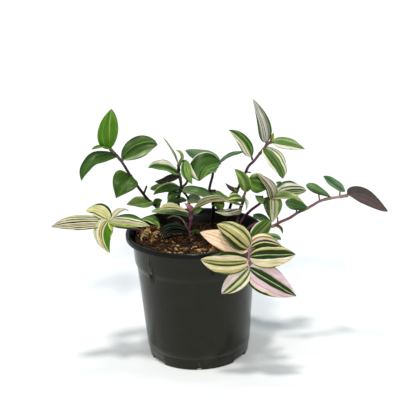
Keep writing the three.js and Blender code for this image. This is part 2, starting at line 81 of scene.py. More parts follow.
# Each leafy stem: its tones from root to tip, the tone of its sheaths, the route of its stem,
# its shoots as (radius, route), and its blades. A blade is its base, the middle of its midrib
# and its tip, the way its upper face looks, its width, how far its halves fold up in degrees,
# its stripes from the left margin to the right as "colour share", and, where it isn't the
# usual place, the share of its length where it is widest, a pair where its halves differ.
# A stem may also have tones for its shoots, a sheath length of its own and a tone of blotches.
STEMS = [dict(
    node="stem_left_tall", slot="leaf_green",
    tones="1e0d10 24120f 3c2426 5f4a4c", sheath="5a4a48",
    route=[(-26, 40, 90), (-26, 40, 106), (-32, 34, 122), (-39, 28, 131), (-46, 22, 143),
        (-54, 16, 159), (-61, 9, 175), (-69, 4, 187)],
    shoots=[
        (1, [(-43.8, 24, 139.6), (-42.6, 23.5, 142.6), (-41, 23, 146.6)]),
        (.8, [(-60, 9, 173), (-59, 9, 179)]),
    ],
    blades=[
        (((-69.5, 4, 187), (-69.5, 1, 206), (-66, 4, 222)), (0, -.97, .25), 18, 8,
         "leaf .5, bright 4, leaf .4, bright 3, green .5, bright 2, lime .3, leaf .7, bright 3, "
         "green .8, bright 2.6, leaf 1", (.3, .5)),
        (((-68.5, 4, 186.5), (-76.3, 0, 190.6), (-84.1, -4, 189)), (0, -.1, .98), 9, 4,
         "leaf 1, green 1"),
        (((-64, 6, 180), (-84.5, -2, 178.5), (-94, -8, 163)), (-.3, -.45, .85), 17.5, 6,
         "moss 3, green 1.4, moss 2, forest 2.4"),
        (((-60, 9, 176), (-44, 12, 186), (-29, 12, 187)), (.05, -.9, .4), 19, 10,
         "forest 1, moss 5, leaf .3, forest 3, moss 4, leaf .7, sage 1, pale .4, sage .8, "
         "moss 1", .45),
        (((-54.5, 16, 159), (-61, 7.5, 153), (-67, 6, 142)), (-.15, -.95, .3), 23, 8,
         "moss 3, green .6, moss 4, green 1", .26),
        (((-38, 28, 131), (-47, 18, 133), (-58.5, 8, 135.5)), (0, -.6, .8), 15, 12,
         "leaf 2, lime 1.4, leaf 2.6, sage .8, lime 1.6"),
        (((-34, 32, 125), (-32, 30, 129), (-28, 28, 132)), (0, -.8, .6), 9, 10,
         "moss 3, forest 1"),
    ],
), dict(
    node="stem_left_rim", slot="leaf_striped",
    tones="6a4a4a 7d5358 97767c b0a08c", sheath="a8a276",
    route=[(-44, 10, 90), (-44, 10, 108), (-49, 4, 113), (-55, -2, 117), (-60, -8, 120),
        (-67, -15, 124), (-72, -22, 131)],
    shoots=[
        (.9, [(-45, 9, 110), (-45, 3, 118), (-44, -6, 127)]),
    ],
    blades=[
        (((-71, -21, 129), (-97, -28, 132), (-119, -34, 132)), (-.05, -.5, .86), 17, 10,
         "forest .6, cream .9, umber .8, ivory .7, olive .7, cream 1, smoke .8, umber .5, "
         "ivory .7, umber .8, cream 1, smoke .8, ivory .8, olive .7, cream 1.6", .42),
        (((-71, -19, 132), (-81, -14, 138), (-92, -10, 137)), (0, -.5, .86), 15, 14,
         "butter .6, ivory .5, forest 1.3, cream 1, butter 1.6, straw .4, butter 1.6, cream 3, "
         "butter .8, deep 2.2"),
        (((-72, -24, 132), (-76, -33, 122), (-71, -37, 108)), (-.1, -.9, .4), 17, 14,
         "lime .8, bright 6.4, green 1.8, cream 1.2, olive 1.2, cream .8, olive .6, cream 1.4, "
         "pearl 1.6, lime .9, ivory .8, lime .7", .32),
        (((-70, -23, 132), (-52, -36, 134), (-36, -46, 134)), (.1, -.45, .88), 17, 12,
         "deep .8, moss 1.2, green .9, leaf .5, ivory 1.1, forest .6, cream 1.2, forest .6, "
         "ivory 1.2, forest .6, cream 1, olive .5, butter .7, leaf .6, lime 1.2", .32),
        (((-71, -21, 130), (-62, -12, 137), (-55, -10, 135)), (.1, .1, 1), 8, 10,
         "straw .8, cream 1.6, taupe 1, silver 1"),
        (((-44, -5, 126), (-36, -10, 126.5), (-29, -16, 122)), (.2, -.4, .9), 10, 12,
         "moss 3, leaf .8, green 2, leaf .8, moss .8, cream .5, lime .6"),
        (((-71, -24, 132), (-69, -33, 130), (-68, -37, 127)), (0, -.6, .8), 4, 10,
         "lime 2, butter .6"),
    ],
), dict(
    node="stem_centre_left", slot="leaf_green",
    tones="140a0c 1e1012 33201f 857a6c", sheath="4c3c38",
    route=[(-11, 36, 90), (-11, 36, 107), (-14, 31, 130), (-11, 29, 143), (-11, 26, 150),
        (-12, 23, 158), (-12, 20, 167)],
    shoots=[
        (1.2, [(-11, 29, 142), (-6, 31, 146), (-5, 32, 149)]),
        (1.2, [(-5, 36, 90), (-5, 36, 107), (-5, 33, 118), (-5, 31, 131), (-8, 30, 137),
            (-11, 29, 141)]),
        (.8, [(-12, 21, 163), (-9, 16, 170), (-5.5, 10, 172.5)]),
    ],
    blades=[
        (((-12, 20, 166), (-17, 17, 180), (-24.5, 14, 193.5)), (.85, -.15, .5), 5.5, 10,
         "sage 1, lime 1, leaf 1"),
        (((-12, 20, 166), (-9, 18, 175.5), (-14, 15, 181)), (.6, -.6, .5), 5, 10,
         "lime 2, pale 1"),
        (((-12, 23, 157), (-25.5, 15, 166), (-38, 8, 168)), (0, -.45, .89), 17, 14,
         "leaf 1.2, sage .5, green 3, sage .5, moss 2, leaf .6, ivory 3.4, taupe .4"),
        (((-11, 25, 154), (-21.5, 16, 153.5), (-33, 8, 155.5)), (-.1, .75, .66), 16, 12,
         "bark 3, umber .4, bark 3"),
        (((-11, 29, 142), (-23, 20, 145), (-35, 12, 142)), (0, -.35, .94), 13, 14,
         "moss 2, green 2, moss 4, cream 1.8"),
        (((-12, 30, 140), (-30, 36, 140.5), (-38.5, 36, 139.5)), (0, -.4, .9), 12, 12,
         "moss 3, green 1"),
        (((-13, 31, 138), (-18, 25, 137), (-23, 20, 133)), (-.3, -.5, .8), 11, 12,
         "moss 2, leaf 1.4, green .8"),
        (((-7, 31, 131), (-16, 24, 131), (-24, 16, 132)), (0, -.25, .97), 12, 12,
         "ink 1, moss 2, leaf 1.4"),
        (((-5.5, 10, 172.5), (-4.5, 1, 164.5), (-0.5, -2, 155)), (-.4, -.85, .3), 10, 12,
         "leaf 2, lime .4, leaf 2, moss 1.2, leaf 1"),
        (((-10, 29, 141), (5, 19, 140.5), (18, 9, 138)), (.1, -.35, .93), 14, 12,
         "leaf .8, slate 1.2, leaf 1.8, sage 1, slate 1, leaf 1.6, sage 1, leaf .6"),
        (((-5, 10, 172), (-2, 3, 165), (5, -1, 158)), (-.4, -.8, .4), 7, 10,
         "ivory 1, green 1"),
        (((-5.5, 31, 130.5), (0, 28, 131.5), (8, 22, 129.5)), (0, -.6, .8), 12, 12,
         "sage 1, pale 1.4, leaf .6, sage 1"),
    ],
), dict(
    node="stem_centre", slot="leaf_green",
    tones="22100f 2a1020 321426 4c3a44", sheath="40503c",
    route=[(16, 38, 90), (16, 38, 106), (17, 33, 117), (17, 28, 126), (16, 25, 134.5),
        (14, 22, 140.5), (15, 21, 147), (17, 20, 154), (18, 19, 159), (21, 18, 164),
        (24, 17, 168)],
    shoots=[
        (1.1, [(15, 22, 141), (19, 19, 142)]),
    ],
    blades=[
        (((24, 17, 168), (8, 25, 171.5), (-6, 32, 176)), (0, -.6, .8), 15, 12,
         "slate 2, sea 2"),
        (((24, 17, 168), (10, 8, 167.5), (5.5, 1, 156.5)), (-.38, -.82, .42), 24.5, 8,
         "leaf 1, green 1.6, leaf 1, green 1, leaf .3, moss 5, forest 3, ivory .35", .48),
        (((24, 17, 168), (34.5, 20, 173), (48, 22, 176)), (-.3, 0, .95), 12, 10,
         "slate 1, sea 2, slate 1.4"),
        (((15, 23, 139), (24, 20, 134), (34, 18, 131.5)), (0, -.3, .95), 13, 12,
         "leaf 1, moss 1"),
        (((17, 28, 127), (22, 20, 128), (22, 14, 123)), (.2, -.8, .55), 11, 12,
         "olive 1, leaf 1.5, olive 1, green 1"),
    ],
), dict(
    node="stem_right_tall", slot="leaf_green",
    tones="5a3040 44202e 35122a 6f4c4e", sheath="5e4440",
    route=[(29, 37, 90), (29, 37, 106), (31, 32, 118), (33, 26, 127), (36, 22, 135), (39, 18, 143),
        (41, 16, 148), (44, 14, 154), (46, 12, 160), (49, 11, 166), (53, 10, 170), (57.5, 9, 176),
        (61.5, 8, 181), (65, 7, 186), (69, 6, 188)],
    shoots=[
        (.7, [(64, 8, 184), (64, 8, 190)]),
        (.7, [(52, 10, 171), (51, 10, 175)]),
        (.7, [(47, 12, 160), (50, 10, 160)]),
    ],
    blades=[
        (((64, 8, 187), (61.2, 5, 205), (52.8, 8, 225.5)), (.1, -.95, .3), 12, 8,
         "moss .9, smoke .7, silver 1.3, smoke .4, silver 1.4, smoke .5, ivory .4, silver 1.3, "
         "smoke .5, pebble .8, moss 1.6", (.3, .42)),
        (((69, 6, 187), (83, 12, 183), (98, 18, 177)), (0, -.75, .65), 12.5, 20,
         "sage 1, leaf 1, pale .5, leaf 2, sage .6, green .8, leaf .6, ivory 2.6, taupe .3"),
        (((68, 6, 187), (69, 4, 192), (70, 3, 197)), (0, -1, .2), 3.5, 8,
         "olive 1, lime 1"),
        (((61, 8, 182), (72.3, 2, 168.6), (77, -2, 157)), (.5, -.8, .3), 18, 20,
         "leaf .5, ivory 1.1, leaf .7, ivory 1, green 1.2, leaf .4, moss 1.8, sage .4, green 2, "
         "moss .8, ivory 1.9"),
        (((51, 10, 174), (44.6, 8, 188), (32, 8, 199)), (-.3, -.9, .3), 11.5, 10,
         "leaf 1, ivory 1.9, olive .4, ivory 1, leaf 1, moss 1.8, leaf .9, moss 1.8", (.32, .48)),
        (((38, 18, 142), (33, 14, 145), (28, 12, 151)), (.2, -.9, .3), 4, 4,
         "plum 2, magenta .3, plum 1"),
        (((39, 18, 142), (37, 15, 144), (36, 14, 146)), (0, -.9, .3), 4, 8,
         "leaf 1, moss 1.4"),
    ],
), dict(
    node="stem_right_short", slot="leaf_striped",
    tones="5a3c34 6a463c 7a5648 8f7a5c", sheath="84705a",
    route=[(37, 22, 90), (37, 22, 107), (41, 21, 124), (43, 19, 130), (44, 17, 136),
        (46, 16, 142)],
    shoots=[
        (.9, [(46, 16, 141), (48, 14, 147), (48, 13, 152)]),
    ],
    blades=[
        (((46, 16, 141), (44, 9, 154), (36, 6, 165)), (-.1, -.95, .3), 11, 10,
         "leaf 2.4, lime 1.2, sage .6, leaf 1.6, green .5, leaf 1.6, lime .8"),
        (((48, 14, 150), (57, 15, 148), (65, 22, 141)), (0, -.9, .4), 18, 10,
         "pale .6, leaf 1.2, moss 1.5, leaf .5, green 3, leaf .8, green 2.2"),
        (((44, 17, 136), (46, 13, 131), (45, 11, 125)), (.85, -.3, .3), 6, 12,
         "ivory 2, sage 1"),
        (((43, 18, 133), (37, 9, 138), (29, 5, 137)), (0, -.6, .8), 13, 12,
         "forest 1, moss 1.6, butter 1.8, green 1.6, cream .8, moss 1.4"),
        (((42, 20, 127), (36, 14, 131), (26, 8, 136)), (0, -.3, .95), 9, 12,
         "ivory 1.6, butter 3, pale 1"),
        (((41, 21, 123), (30, 10, 123), (18, 2, 128)), (0, -.3, .95), 12, 12,
         "taupe .8, pale 1, olive .6, ivory 1.4, umber .6, silver .9, sage .8"),
    ],
), dict(
    node="stem_right_low", slot="leaf_striped",
    tones="3a1420 4a1a30 54203a 6a4a44", sheath="6a6a44",
    route=[(40, 28, 90), (40, 28, 106), (45, 30, 113), (51, 28, 120), (57, 26, 125), (62, 24, 130),
        (69, 21, 133)],
    shoots=[
        (.9, [(69, 21, 133), (74, 21, 138)]),
    ],
    blades=[
        (((69, 21, 132), (65.5, 14, 146.5), (54.5, 8, 160)), (.35, -.85, .4), 12, 14,
         "forest 1, cream .6, umber .9, cream .6, bark .9, pebble .8, ivory 1, taupe .6, blush 1, "
         "sage 1", .3),
        (((69, 21, 133), (82.5, 14, 136), (98.5, 6, 128.5)), (0, -.5, .86), 11, 12,
         "pale 1.4, lime 1.4, sage 1, leaf 1, lime .6, leaf 1.2, cream 1.4", .3),
        (((73, 21, 137), (87.5, 22, 139), (100, 26, 136.5)), (.1, -.8, .6), 14, 10,
         "sage .5, ivory 2, moss .8, ivory 1, forest .8, sage 1, moss .6, cream .7, forest .8, "
         "cream .7, leaf 1"),
        (((74, 21, 138), (83.5, 28, 140.5), (94.5, 32, 139.5)), (0, -.8, .6), 11, 12,
         "slate 1, green 3"),
        (((74, 21, 138), (77, 26, 142), (73, 30, 144)), (0, -.8, .6), 8, 12,
         "sage 1, leaf 1"),
        (((69, 21, 132), (69, 12, 126), (68, 6, 115)), (0, -.95, .3), 17, 12,
         "leaf 2, pale .5, cream 1, sage .8, ivory 1, pebble .5, cream .7, moss 1, "
         "forest 2.4", .35),
        (((63, 24, 130), (59, 22, 131), (54, 20, 136)), (0, -.8, .6), 8, 12,
         "sage 1, leaf 1.4, moss 1"),
    ],
), dict(
    node="stem_far_right", slot="leaf_green", shoot_tones="4a5a30 4c4c2c 5a3c38",
    tones="5a3038 6a3a44 78485a 9a7c74", sheath="86705e",
    route=[(44, 6, 90), (44, 6, 106), (52, 5, 114), (60, 2, 116), (67, -4, 115), (74, -5, 119),
        (82.5, -6, 123), (89.5, -6, 127.5), (95, -6, 130), (101, -6, 133), (108, -6, 137),
        (115, -6, 139), (122, -6, 140), (132, -5, 141)],
    shoots=[
        (.7, [(126, -3, 146), (125, -6, 140)]),
        (.7, [(107, -7, 144.5), (108, -6, 137)]),
        (.7, [(88, -8, 132), (88, -6, 126)]),
        (.7, [(72, -4, 117), (72, -4, 123)]),
    ],
    blades=[
        (((132, -5, 141.5), (147.2, -9, 140.2), (165.8, -13, 128.3)), (.1, .95, .3), 16.5, 8,
         "plum .5, mulberry 4, plum .5, mulberry .5, plum 4", (.56, .26)),
        (((130, -4, 144), (121.5, 0, 150.2), (112, 2, 157)), (-.2, -.5, .85), 8.8, 8,
         "sea 1, slate 1.4, sea 1", .5),
        (((118, -6, 140), (107.7, -8, 146.8), (96.6, -6, 152.2)), (-.2, -.6, .8), 8.5, 10,
         "umber .8, moss .6, sea 2.6", .66),
        (((98, -6, 132), (88.3, -9, 135), (78.5, -8, 138.6)), (-.1, -.7, .7), 10.5, 8,
         "forest .8, moss 1.4, slate 1, forest .4, moss 1.2, umber .3, sage .3", .6),
        (((70, -5, 116), (74, -6, 114), (76, -8, 109)), (.5, -.5, .5), 4, 10,
         "umber 1, olive 1"),
        (((61, 2, 116), (58, 14, 116.5), (52.5, 26, 116.5)), (.3, -.8, .5), 13, 10,
         "moss 2, forest 1"),
    ],
), dict(
    node="stem_front_right", slot="leaf_rose",
    tones="7a4a50 84525c b08c8a b89c98", sheath="7c3048", sheath_length=2.2,
    blotch="7a2440",
    route=[(40, -18, 90), (40, -18, 106), (44, -30, 114), (46, -40, 116), (46, -48, 116),
        (45, -53, 112), (45, -57, 108), (43, -60, 104), (44, -62, 99)],
    shoots=[
        (1, [(46, -44, 116), (48, -41, 119)]),
    ],
    blades=[
        (((45, -51, 114), (33, -54, 128), (19, -49, 134.5)), (0, -.75, .66), 20, 10,
         "deep 2.2, straw 1.8, ink 1.1, straw 2.6, cream .9, straw .9, moss 1.1, straw .8, "
         "cream .8, deep .8"),
        (((44, -53, 112), (23.5, -49, 120.5), (5, -42, 125.5)), (0, -.8, .6), 18, 8,
         "gold .4, peach 3, blush .3, peach 2, gold .2, peach 1.6, blush .25, peach 3"),
        (((44, -59, 105), (22, -66, 107), (5, -66, 111)), (0, -.9, .43), 19, 10,
         "moss .6, straw 1.6, cream 1.2, blush 1, straw .3, forest 1, olive .3, straw .9, "
         "olive .3, forest .4, straw .5, cream .9, blush 1.2, cream .6, deep 2.4"),
        (((44, -61, 100), (32, -68, 91), (21, -66, 80)), (0, -.95, .3), 17, 12,
         "lime .2, ivory 1.4, olive .25, forest .5, olive .25, sage .4, cream .9, sage .5, "
         "forest .7, olive .3, pearl 2, lilac .6, pearl 1.6, olive .4"),
        (((44, -61, 100), (61, -68, 90), (82, -72, 78)), (0, -.95, .3), 25, 10,
         "lilac 5.6, moss .4, deep 2.2, pale .35, deep 2.1, lilac 2.4, mauve 1.4, lilac 1, "
         "cream .6, deep 1.4"),
        (((45, -57, 108), (65, -64, 111), (82, -68, 113)), (0, -.9, .43), 20, 12,
         "deep 2.4, cream 1.2, straw .8, deep 4.2, pale .5, deep 2.8, ivory .8, cream 2.2, "
         "blush 1.8, cream 1, butter .6, olive .7"),
        (((46, -51, 114), (57, -50, 119), (72, -50, 114)), (0, -.6, .8), 13, 12,
         "peach 1.5, olive .7, blush 1, deep 1.3, cream .8, deep 1.5, straw .7"),
        (((47, -42, 118), (57, -34, 124), (65, -28, 130)), (.2, -.9, .4), 14, 10,
         "pearl .7, leaf .5, moss 2, olive .5, moss 2, olive .4, moss 2.4, straw .6"),
        (((48, -42, 118), (64.5, -46, 120.5), (71.5, -48, 118.5)), (0, -.8, .6), 7, 12,
         "leaf 1, slate .6, sage .9"),
    ],
), dict(
    node="stem_front_centre", slot="leaf_striped", shoot_tones="5a4438 6e5646 7d6858",
    tones="4e3236 5e4044 7d5460 8f6a70", sheath="7c5560",
    route=[(-4, 6, 90), (-4, 6, 106), (-5, 5, 110), (-4, 2, 116), (-3, 0, 122), (-3, -3, 130)],
    shoots=[
        (.8, [(-4, 5, 108), (-7, 3, 115), (-9, 4, 119), (-12, 6, 122), (-16, 8, 123),
            (-19, 9, 123), (-23, 10, 121)]),
    ],
    blades=[
        (((-3, -3, 129), (-3, -6, 135), (-8, -7, 140)), (0, -.9, .3), 6, 20,
         "magenta 1, rose 2.4, magenta .6"),
        (((-4, -3, 129), (-17, -14, 138), (-29, -22, 140)), (0, -.3, .95), 14, 12,
         "umber .6, cream 1.2, umber .4, butter .8, cream 1, umber .4, cream 1.4, straw .5, "
         "butter 1, ivory .8"),
        (((-2, -3, 130), (12, -14, 143), (29, -22, 146)), (0, -.35, .93), 15, 12,
         "sage .6, cream .8, smoke .9, sage .8, straw .5, umber .6, taupe .9, blush .9, umber .6, "
         "straw .6, olive .8, moss .5"),
        (((-3.5, 0, 125.5), (-22.5, -8, 133), (-36.5, -12, 134.5)), (0, -.25, .97), 12, 12,
         "leaf 1.6, sage 1.2, leaf .8, sage .8"),
        (((-3, -2, 128), (2, 4, 129), (8, 8, 130)), (0, -.6, .8), 8, 12,
         "olive 1, leaf 1, sage .4"),
        # These two blades lie low in the others' shade: their dark green is their own, darkened to
        # near-black with painted shade.
        (((-5, 4, 110), (-19.5, -2, 117), (-31, -8, 112.5)), (0, -.3, .95), 9, 12,
         "night 3, sage .22, night 3.4, slate .3, night 2"),
        (((-5, 5, 108), (-17, -4, 114), (-28, -10, 109.5)), (0, -.3, .95), 9, 12,
         "night 3, sage .22, night 3.4, slate .3, night 2"),
        (((-4, 5, 108), (1, 2, 110), (6, -2, 108)), (0, -.4, .9), 5, 12,
         "moss 1, forest 1"),
    ],
)]

# How the blades are formed, as in the frame's solids
BLADE_FULLNESS, BLADE_BULGE, BLADE_WIDEST_AT = 1.5, 0.3, 0.38
# What only the dressed blades have: how finely they are divided, how many waves run along a
# margin and how far the second margin's waves are shifted, the groove over the midrib, how
# much thinner the margins are than the midrib, how thick the very tip is as a share, the half
# widths from which the waves, the groove and the thickness are whole, and the veins' tint
BLADE_ROWS, BLADE_COLUMNS = 30, 20
WAVE_TURNS, WAVE_SHIFT = (1.2, 2.2), 1.7
GROOVE_DEPTH, GROOVE_WIDTH = 0.3, 0.9
MARGIN_THINNING, TIP_THICKNESS = 0.6, 0.12
WAVE_FULL_AT, GROOVE_FULL_AT, THICK_FULL_AT = 4, 3, 2.5
VEIN_TINT = (0.66, 0.66, 0.48)
# How much of each stripe fades into its neighbour at either edge
STRIPE_SOFTNESS = 0.1
# The values between which nearly all of a noise stays
NOISE = (0.3, 0.7)

# The stems: the step between their rings, their sides, how much they taper, how much and over
# what length they swell at a node, how far that is below the blade's base, and their round tip
ROD_STEP, ROD_SIDES, ROD_TAPER = 1.3, 14, 0.2
NODE_SWELL, NODE_LENGTH, NODE_BELOW = 0.16, 1.3, 5.0
ROUNDED_END = (0.45, 0.8, 0.97)
# The sheaths: their usual length, how far they pass the blade's base, how far they stand off
# the stem and flare at the mouth. The hairs there: their number, their distance off the stem
# and radius, how far they lean outward, and their lengths as shares of the greatest
SHEATH_LENGTH, SHEATH_PAST, SHEATH_GAP, SHEATH_FLARE = 5.5, 1.0, 0.08, 0.34
HAIR_COUNT, HAIR_ROOT, HAIR_RADIUS, HAIR_LEANS, HAIR_SHARES = 9, 0.38, 0.05, (0.1, 0.6), (0.6, 1)

# The pot's outer profile and the inner face of its wall, as radius and height from the floor up
POT_OUTSIDE = [
    (43.0, 0), (43.6, 0.25), (43.8, 0.8), (45.0, 9.7), (45.1, 10.3), (45.3, 10.8), (45.6, 11.1),
    (46.9, 28), (48.6, 50), (50.3, 72), (51.3, 82), (51.5, 83.4), (51.9, 84.7), (52.5, 86.2),
    (53.0, 88), (53.3, 90.5), (53.8, 104), (53.9, 107.6), (54.2, 108.2), (55.0, 108.4),
    (59.2, 108.4), (59.7, 108.6), (60.0, 109.2), (60.0, 112.2), (59.8, 112.8), (59.2, 113.0),
    (57.8, 113.0), (57.2, 112.7), (56.9, 112.0),
]
POT_INSIDE = [(52.6, 107.1), (52.1, 90), (50.5, 85), (44.3, 10.5), (42.5, 1.7)]
# How many sides the pot has, and how much closer they stand by a rib, to how far beside it
POT_SIDES, RIB_STEP, RIB_MARGIN = 144, 0.4, 2.2
# The bearings of each rib at its top and foot, and the heights between which the ribs stand;
# a rib reaches one degree to either side
RIBS = [(45, 45), (135, 135), (221.5, 228), (315, 315)]
RIB_FOOT, RIB_TOP = 86, 103
# The heights and least radius of the lip's outer face, which is darkened as painted shade
LIP_FOOT, LIP_TOP, LIP_RADIUS = 107.9, 112.5, 54.5
# The nick in the ledge: its bearing, how far it and its painted shade reach to either side in
# degrees, its heights and depth, and the radius outside which its shade is painted
NICK_DEGREES, NICK_REACH, NICK_SHADE_REACH, NICK_RADIUS = 224.5, 3.2, 3.4, 50
NICK_FOOT, NICK_TOP, NICK_DEPTH = 83.3, 86.3, 1.3
# The drains: their width, height and bearings, half of their arch as shares of these, and how
# near the axis and how far from it the cut reaches
DRAINS = [(18, 3.2, (-145, -35, 35, 145)), (3.5, 2.6, (-90, 0, 90, 180))]
DRAIN_ARCH = [(0.5, 0.5), (0.4, 0.85), (0.25, 1)]
DRAIN_NEAR, DRAIN_FAR = 36, 47
# The pot's plastic where no dust lies on it: its name, roughness, gloss, the scale and detail
# of its clouds, and how dark and light they are. Both are darker than the rest of the pot, as
# painted shade. On the outer face of the lip's rolled edge and in the nick, the painted shade
# gives the eye a black band under the thin bright line of the rim. The inside is darkened with
# painted shade for the pot's own shade there, so that the eye sees the leaves stand clear of it.
PAINTED_SHADE_LIP_NICK = ("Black polypropylene, lip and nick darkened as painted shade", 0.4, 0.14, 90.0, 3.0, 0.3, 0.8)
PAINTED_SHADE_INSIDE = ("Black polypropylene, inside darkened as painted shade", 0.6, 0.12, 150.0, 5.0, 0.5, 1.1)

# The soil, as in the frame's solids
SOIL_LEVEL, SOIL_HEAP, SOIL_RADIUS, COLLAR_RADIUS = 104, 3.5, 51.8, 53.9
SOIL_FOOT = (42.2, 2.0)
SOIL_WALL = [SOIL_FOOT, (44.0, 10.5), (50.2, 85), (51.8, 90)]
# What only the dressed soil has: the mound of loose fibres at the left, the scale and height
# of its crumbly surface, and how finely that is divided
MOUND_X, MOUND_Y, MOUND_HEIGHT, MOUND_ACROSS, MOUND_ALONG = -44, 8, 4.2, 13, 22
CRUMBLY_SCALE, CRUMBLY_HEIGHT = 0.35, 0.9
SOIL_RINGS, SOIL_SIDES = 60, 150
# The large chips of bark, as in the frame's solids: their number, how far they keep from the
# collar, the range of their tilt in radians, and the least and greatest of their sizes
CHIP_COUNT, CHIP_INSET, CHIP_TILT = 26, 8, 0.5
CHIP_SIZES = [(3, 6), (1.5, 3), (1.2, 2)]
# How far from the axis loose pieces may lie
LOOSE_RADIUS = SOIL_RADIUS - 1.5
# The crumbs: the least and greatest of their sizes, how strongly the small ones prevail, the
# range of each side as a share of the size, how far they lean in radians, and how rough they are
CRUMB_LEAST, CRUMB_MOST, CRUMB_FINENESS = 0.5, 2.0, 2.5
CRUMB_SIDES, CRUMB_LEAN, CRUMB_ROUGHNESS = [(0.6, 1.6), (0.5, 1.0), (0.4, 0.8)], 0.7, 0.35
# The fibres: their points, a millimetre apart, how far they lie up and bow up from the soil,
# how far they bend from point to point in radians, and their radii
FIBRE_POINTS, FIBRE_LIFT, FIBRE_BOW, FIBRE_BEND, FIBRE_RADII = 9, 0.5, 0.9, 0.35, (0.12, 0.32)
# The curls: their points, how far their heap reaches across and along the mound, how high
# they lie, and the radius of their arc, how far round it goes in radians and their own radii
CURL_POINTS, CURLS_ACROSS, CURLS_ALONG, CURL_LIFTS = 13, 9, 20, (0.2, 1.4)
CURL_ARCS, CURL_SWEEPS, CURL_RADII = (1.6, 3.6), (1.6, 4.6), (0.4, 0.95)
# The wood chips: how far from the middle of the front they lie in degrees, how broad their
# band along the wall is, their sizes, their sides as shares of these, their lean, their roughness
WOOD_SPREAD, WOOD_BAND, WOOD_SIZES = 36, 22, (0.7, 1.9)
WOOD_SIDES, WOOD_LEAN, WOOD_ROUGHNESS = (1.6, 0.7, 0.5), 0.6, 0.3
# The corners of an icosahedron with edges of 2, and what brings them to 1 from its middle
GOLDEN = (1 + math.sqrt(5)) / 2
LUMP_CORNERS = [corner for a in (-1, 1) for b in (-GOLDEN, GOLDEN)
                for corner in ((0, a, b), (a, b, 0), (b, 0, a))]
LUMP_SCALE = 0.53

# The floor: how far it reaches to each side, and how far it lies under the pot's foot
FLOOR_REACH, FLOOR_DROP = 30000, 0.2
# The lamps: where each shines from, clockwise from the back and above the level, its share of
# the strength, its colour, and how wide it is in degrees, which softens its shadows
LAMPS = [
    ("lamp_overhead", 330, 85, 0.2, (1.0, 0.99, 0.97), 6),
    ("lamp_high_front", 201, 78, 1.45, (1.0, 0.99, 0.98), 6),
    ("lamp_low_front", 180, 35, 1.5, (1.0, 0.92, 0.84), 6),
]
# The camera: its place, how far it looks down and its roll in degrees, its focal length and
# the frame's width in pixels, and the width of its sensor
CAMERA_PLACE = (12.3, -887, 431)
CAMERA_PITCH, CAMERA_ROLL = -18.605, -2.0
CAMERA_FOCAL, FRAME_WIDTH, SENSOR_WIDTH = 1085, 416, 36


# What all the colour settings share
COLOUR = {"min": 0, "max": 1, "subtype": "COLOR"}


class PotSettings(bpy.types.PropertyGroup):
    """The nursery pot."""

    rib_height: FloatProperty(
        name="Rib height", description="How far the four moulded ribs stand proud of the collar",
        default=0.7 * MM, min=0, unit="LENGTH")
    plastic: FloatVectorProperty(
        name="Plastic", description="Colour of the black polypropylene",
        default=linear("0c0d08"), **COLOUR)
    dust: FloatVectorProperty(
        name="Dust", description="Colour of the dried peat dust on the plastic",
        default=linear("2b2923"), **COLOUR)


class SoilSettings(bpy.types.PropertyGroup):
    """The potting mix."""

    crumbs: IntProperty(
        name="Crumbs", description="Number of loose crumbs on the surface", default=1500, min=0)
    fibres: IntProperty(
        name="Fibres", description="Number of peat and root fibres", default=240, min=0)
    curls: IntProperty(
        name="Curls", description="Number of curled fibres heaped against the wall",
        default=85, min=0)
    wood_chips: IntProperty(
        name="Wood chips", description="Number of pale chips along the front", default=90, min=0)
    peat: FloatVectorProperty(
        name="Peat", description="Colour of the damp peat",
        default=linear("100a06"), **COLOUR)
    bark: FloatVectorProperty(
        name="Bark", description="Colour of the bark chips",
        default=linear("5c3b20"), **COLOUR)
    straw: FloatVectorProperty(
        name="Straw", description="Colour of the dry fibres and the palest chips",
        default=linear("c49a60"), **COLOUR)


class PlantSettings(bpy.types.PropertyGroup):
    """The leafy stems."""

    blade_thickness: FloatProperty(
        name="Blade thickness", description="Thickness of a blade along its midrib",
        default=0.8 * MM, min=0.2 * MM, unit="LENGTH")
    stem_radius: FloatProperty(
        name="Stem radius", description="Radius of a main stem where it leaves the soil",
        default=1.4 * MM, min=0.3 * MM, unit="LENGTH")
    waviness: FloatProperty(
        name="Waviness", description="How far the blades' margins wave up and down",
        default=0.45 * MM, min=0, unit="LENGTH")
    hair_length: FloatProperty(
        name="Hair length", description="Length of the hairs at the mouths of the sheaths",
        default=1.3 * MM, min=0, unit="LENGTH")
    underside: FloatVectorProperty(
        name="Underside", description="Tint of the blades' undersides",
        default=linear("6c6f63"), **COLOUR)


class StageSettings(bpy.types.PropertyGroup):
    """The floor and the light."""

    floor: FloatVectorProperty(
        name="Floor", description="Colour of the pale floor",
        default=(0.96, 0.96, 0.95), **COLOUR)
    sky: FloatVectorProperty(
        name="Sky", description="Colour of the even light from all round",
        default=(0.74, 0.90, 1.0), **COLOUR)
    sky_strength: FloatProperty(
        name="Sky strength", description="Strength of the even light", default=0.43, min=0)
    lamp_strength: FloatProperty(
        name="Lamp strength", description="Strength of each soft lamp", default=1.0, min=0)


def fill(tree, node, inputs):
    """Sets a node's inputs, by name or in order, to values, or links them to outputs.

    A node that is given as a value stands for the first of its outputs in use.
    """
    for name, value in inputs.items() if isinstance(inputs, dict) else enumerate(inputs):
        if isinstance(value, bpy.types.Node):
            value = next(output for output in value.outputs if output.enabled)
        if isinstance(value, bpy.types.NodeSocket):
            tree.links.new(value, node.inputs[name])
        else:
            node.inputs[name].default_value = value


def add(tree, kind, inputs=(), stops=None, **settings):
    """Adds a node with its settings, the values or links of its inputs, and a ramp's stops."""
    node = tree.nodes.new("ShaderNode" + kind)
    for name, value in settings.items():
        setattr(node, name, value)
    fill(tree, node, inputs)
    if stops:
        elements = node.color_ramp.elements
        elements.remove(elements[-1])
        elements[0].position, elements[0].color = stops[0][0], (*stops[0][1], 1)
        for position, colour in stops[1:]:
            elements.new(position).color = (*colour, 1)
    return node


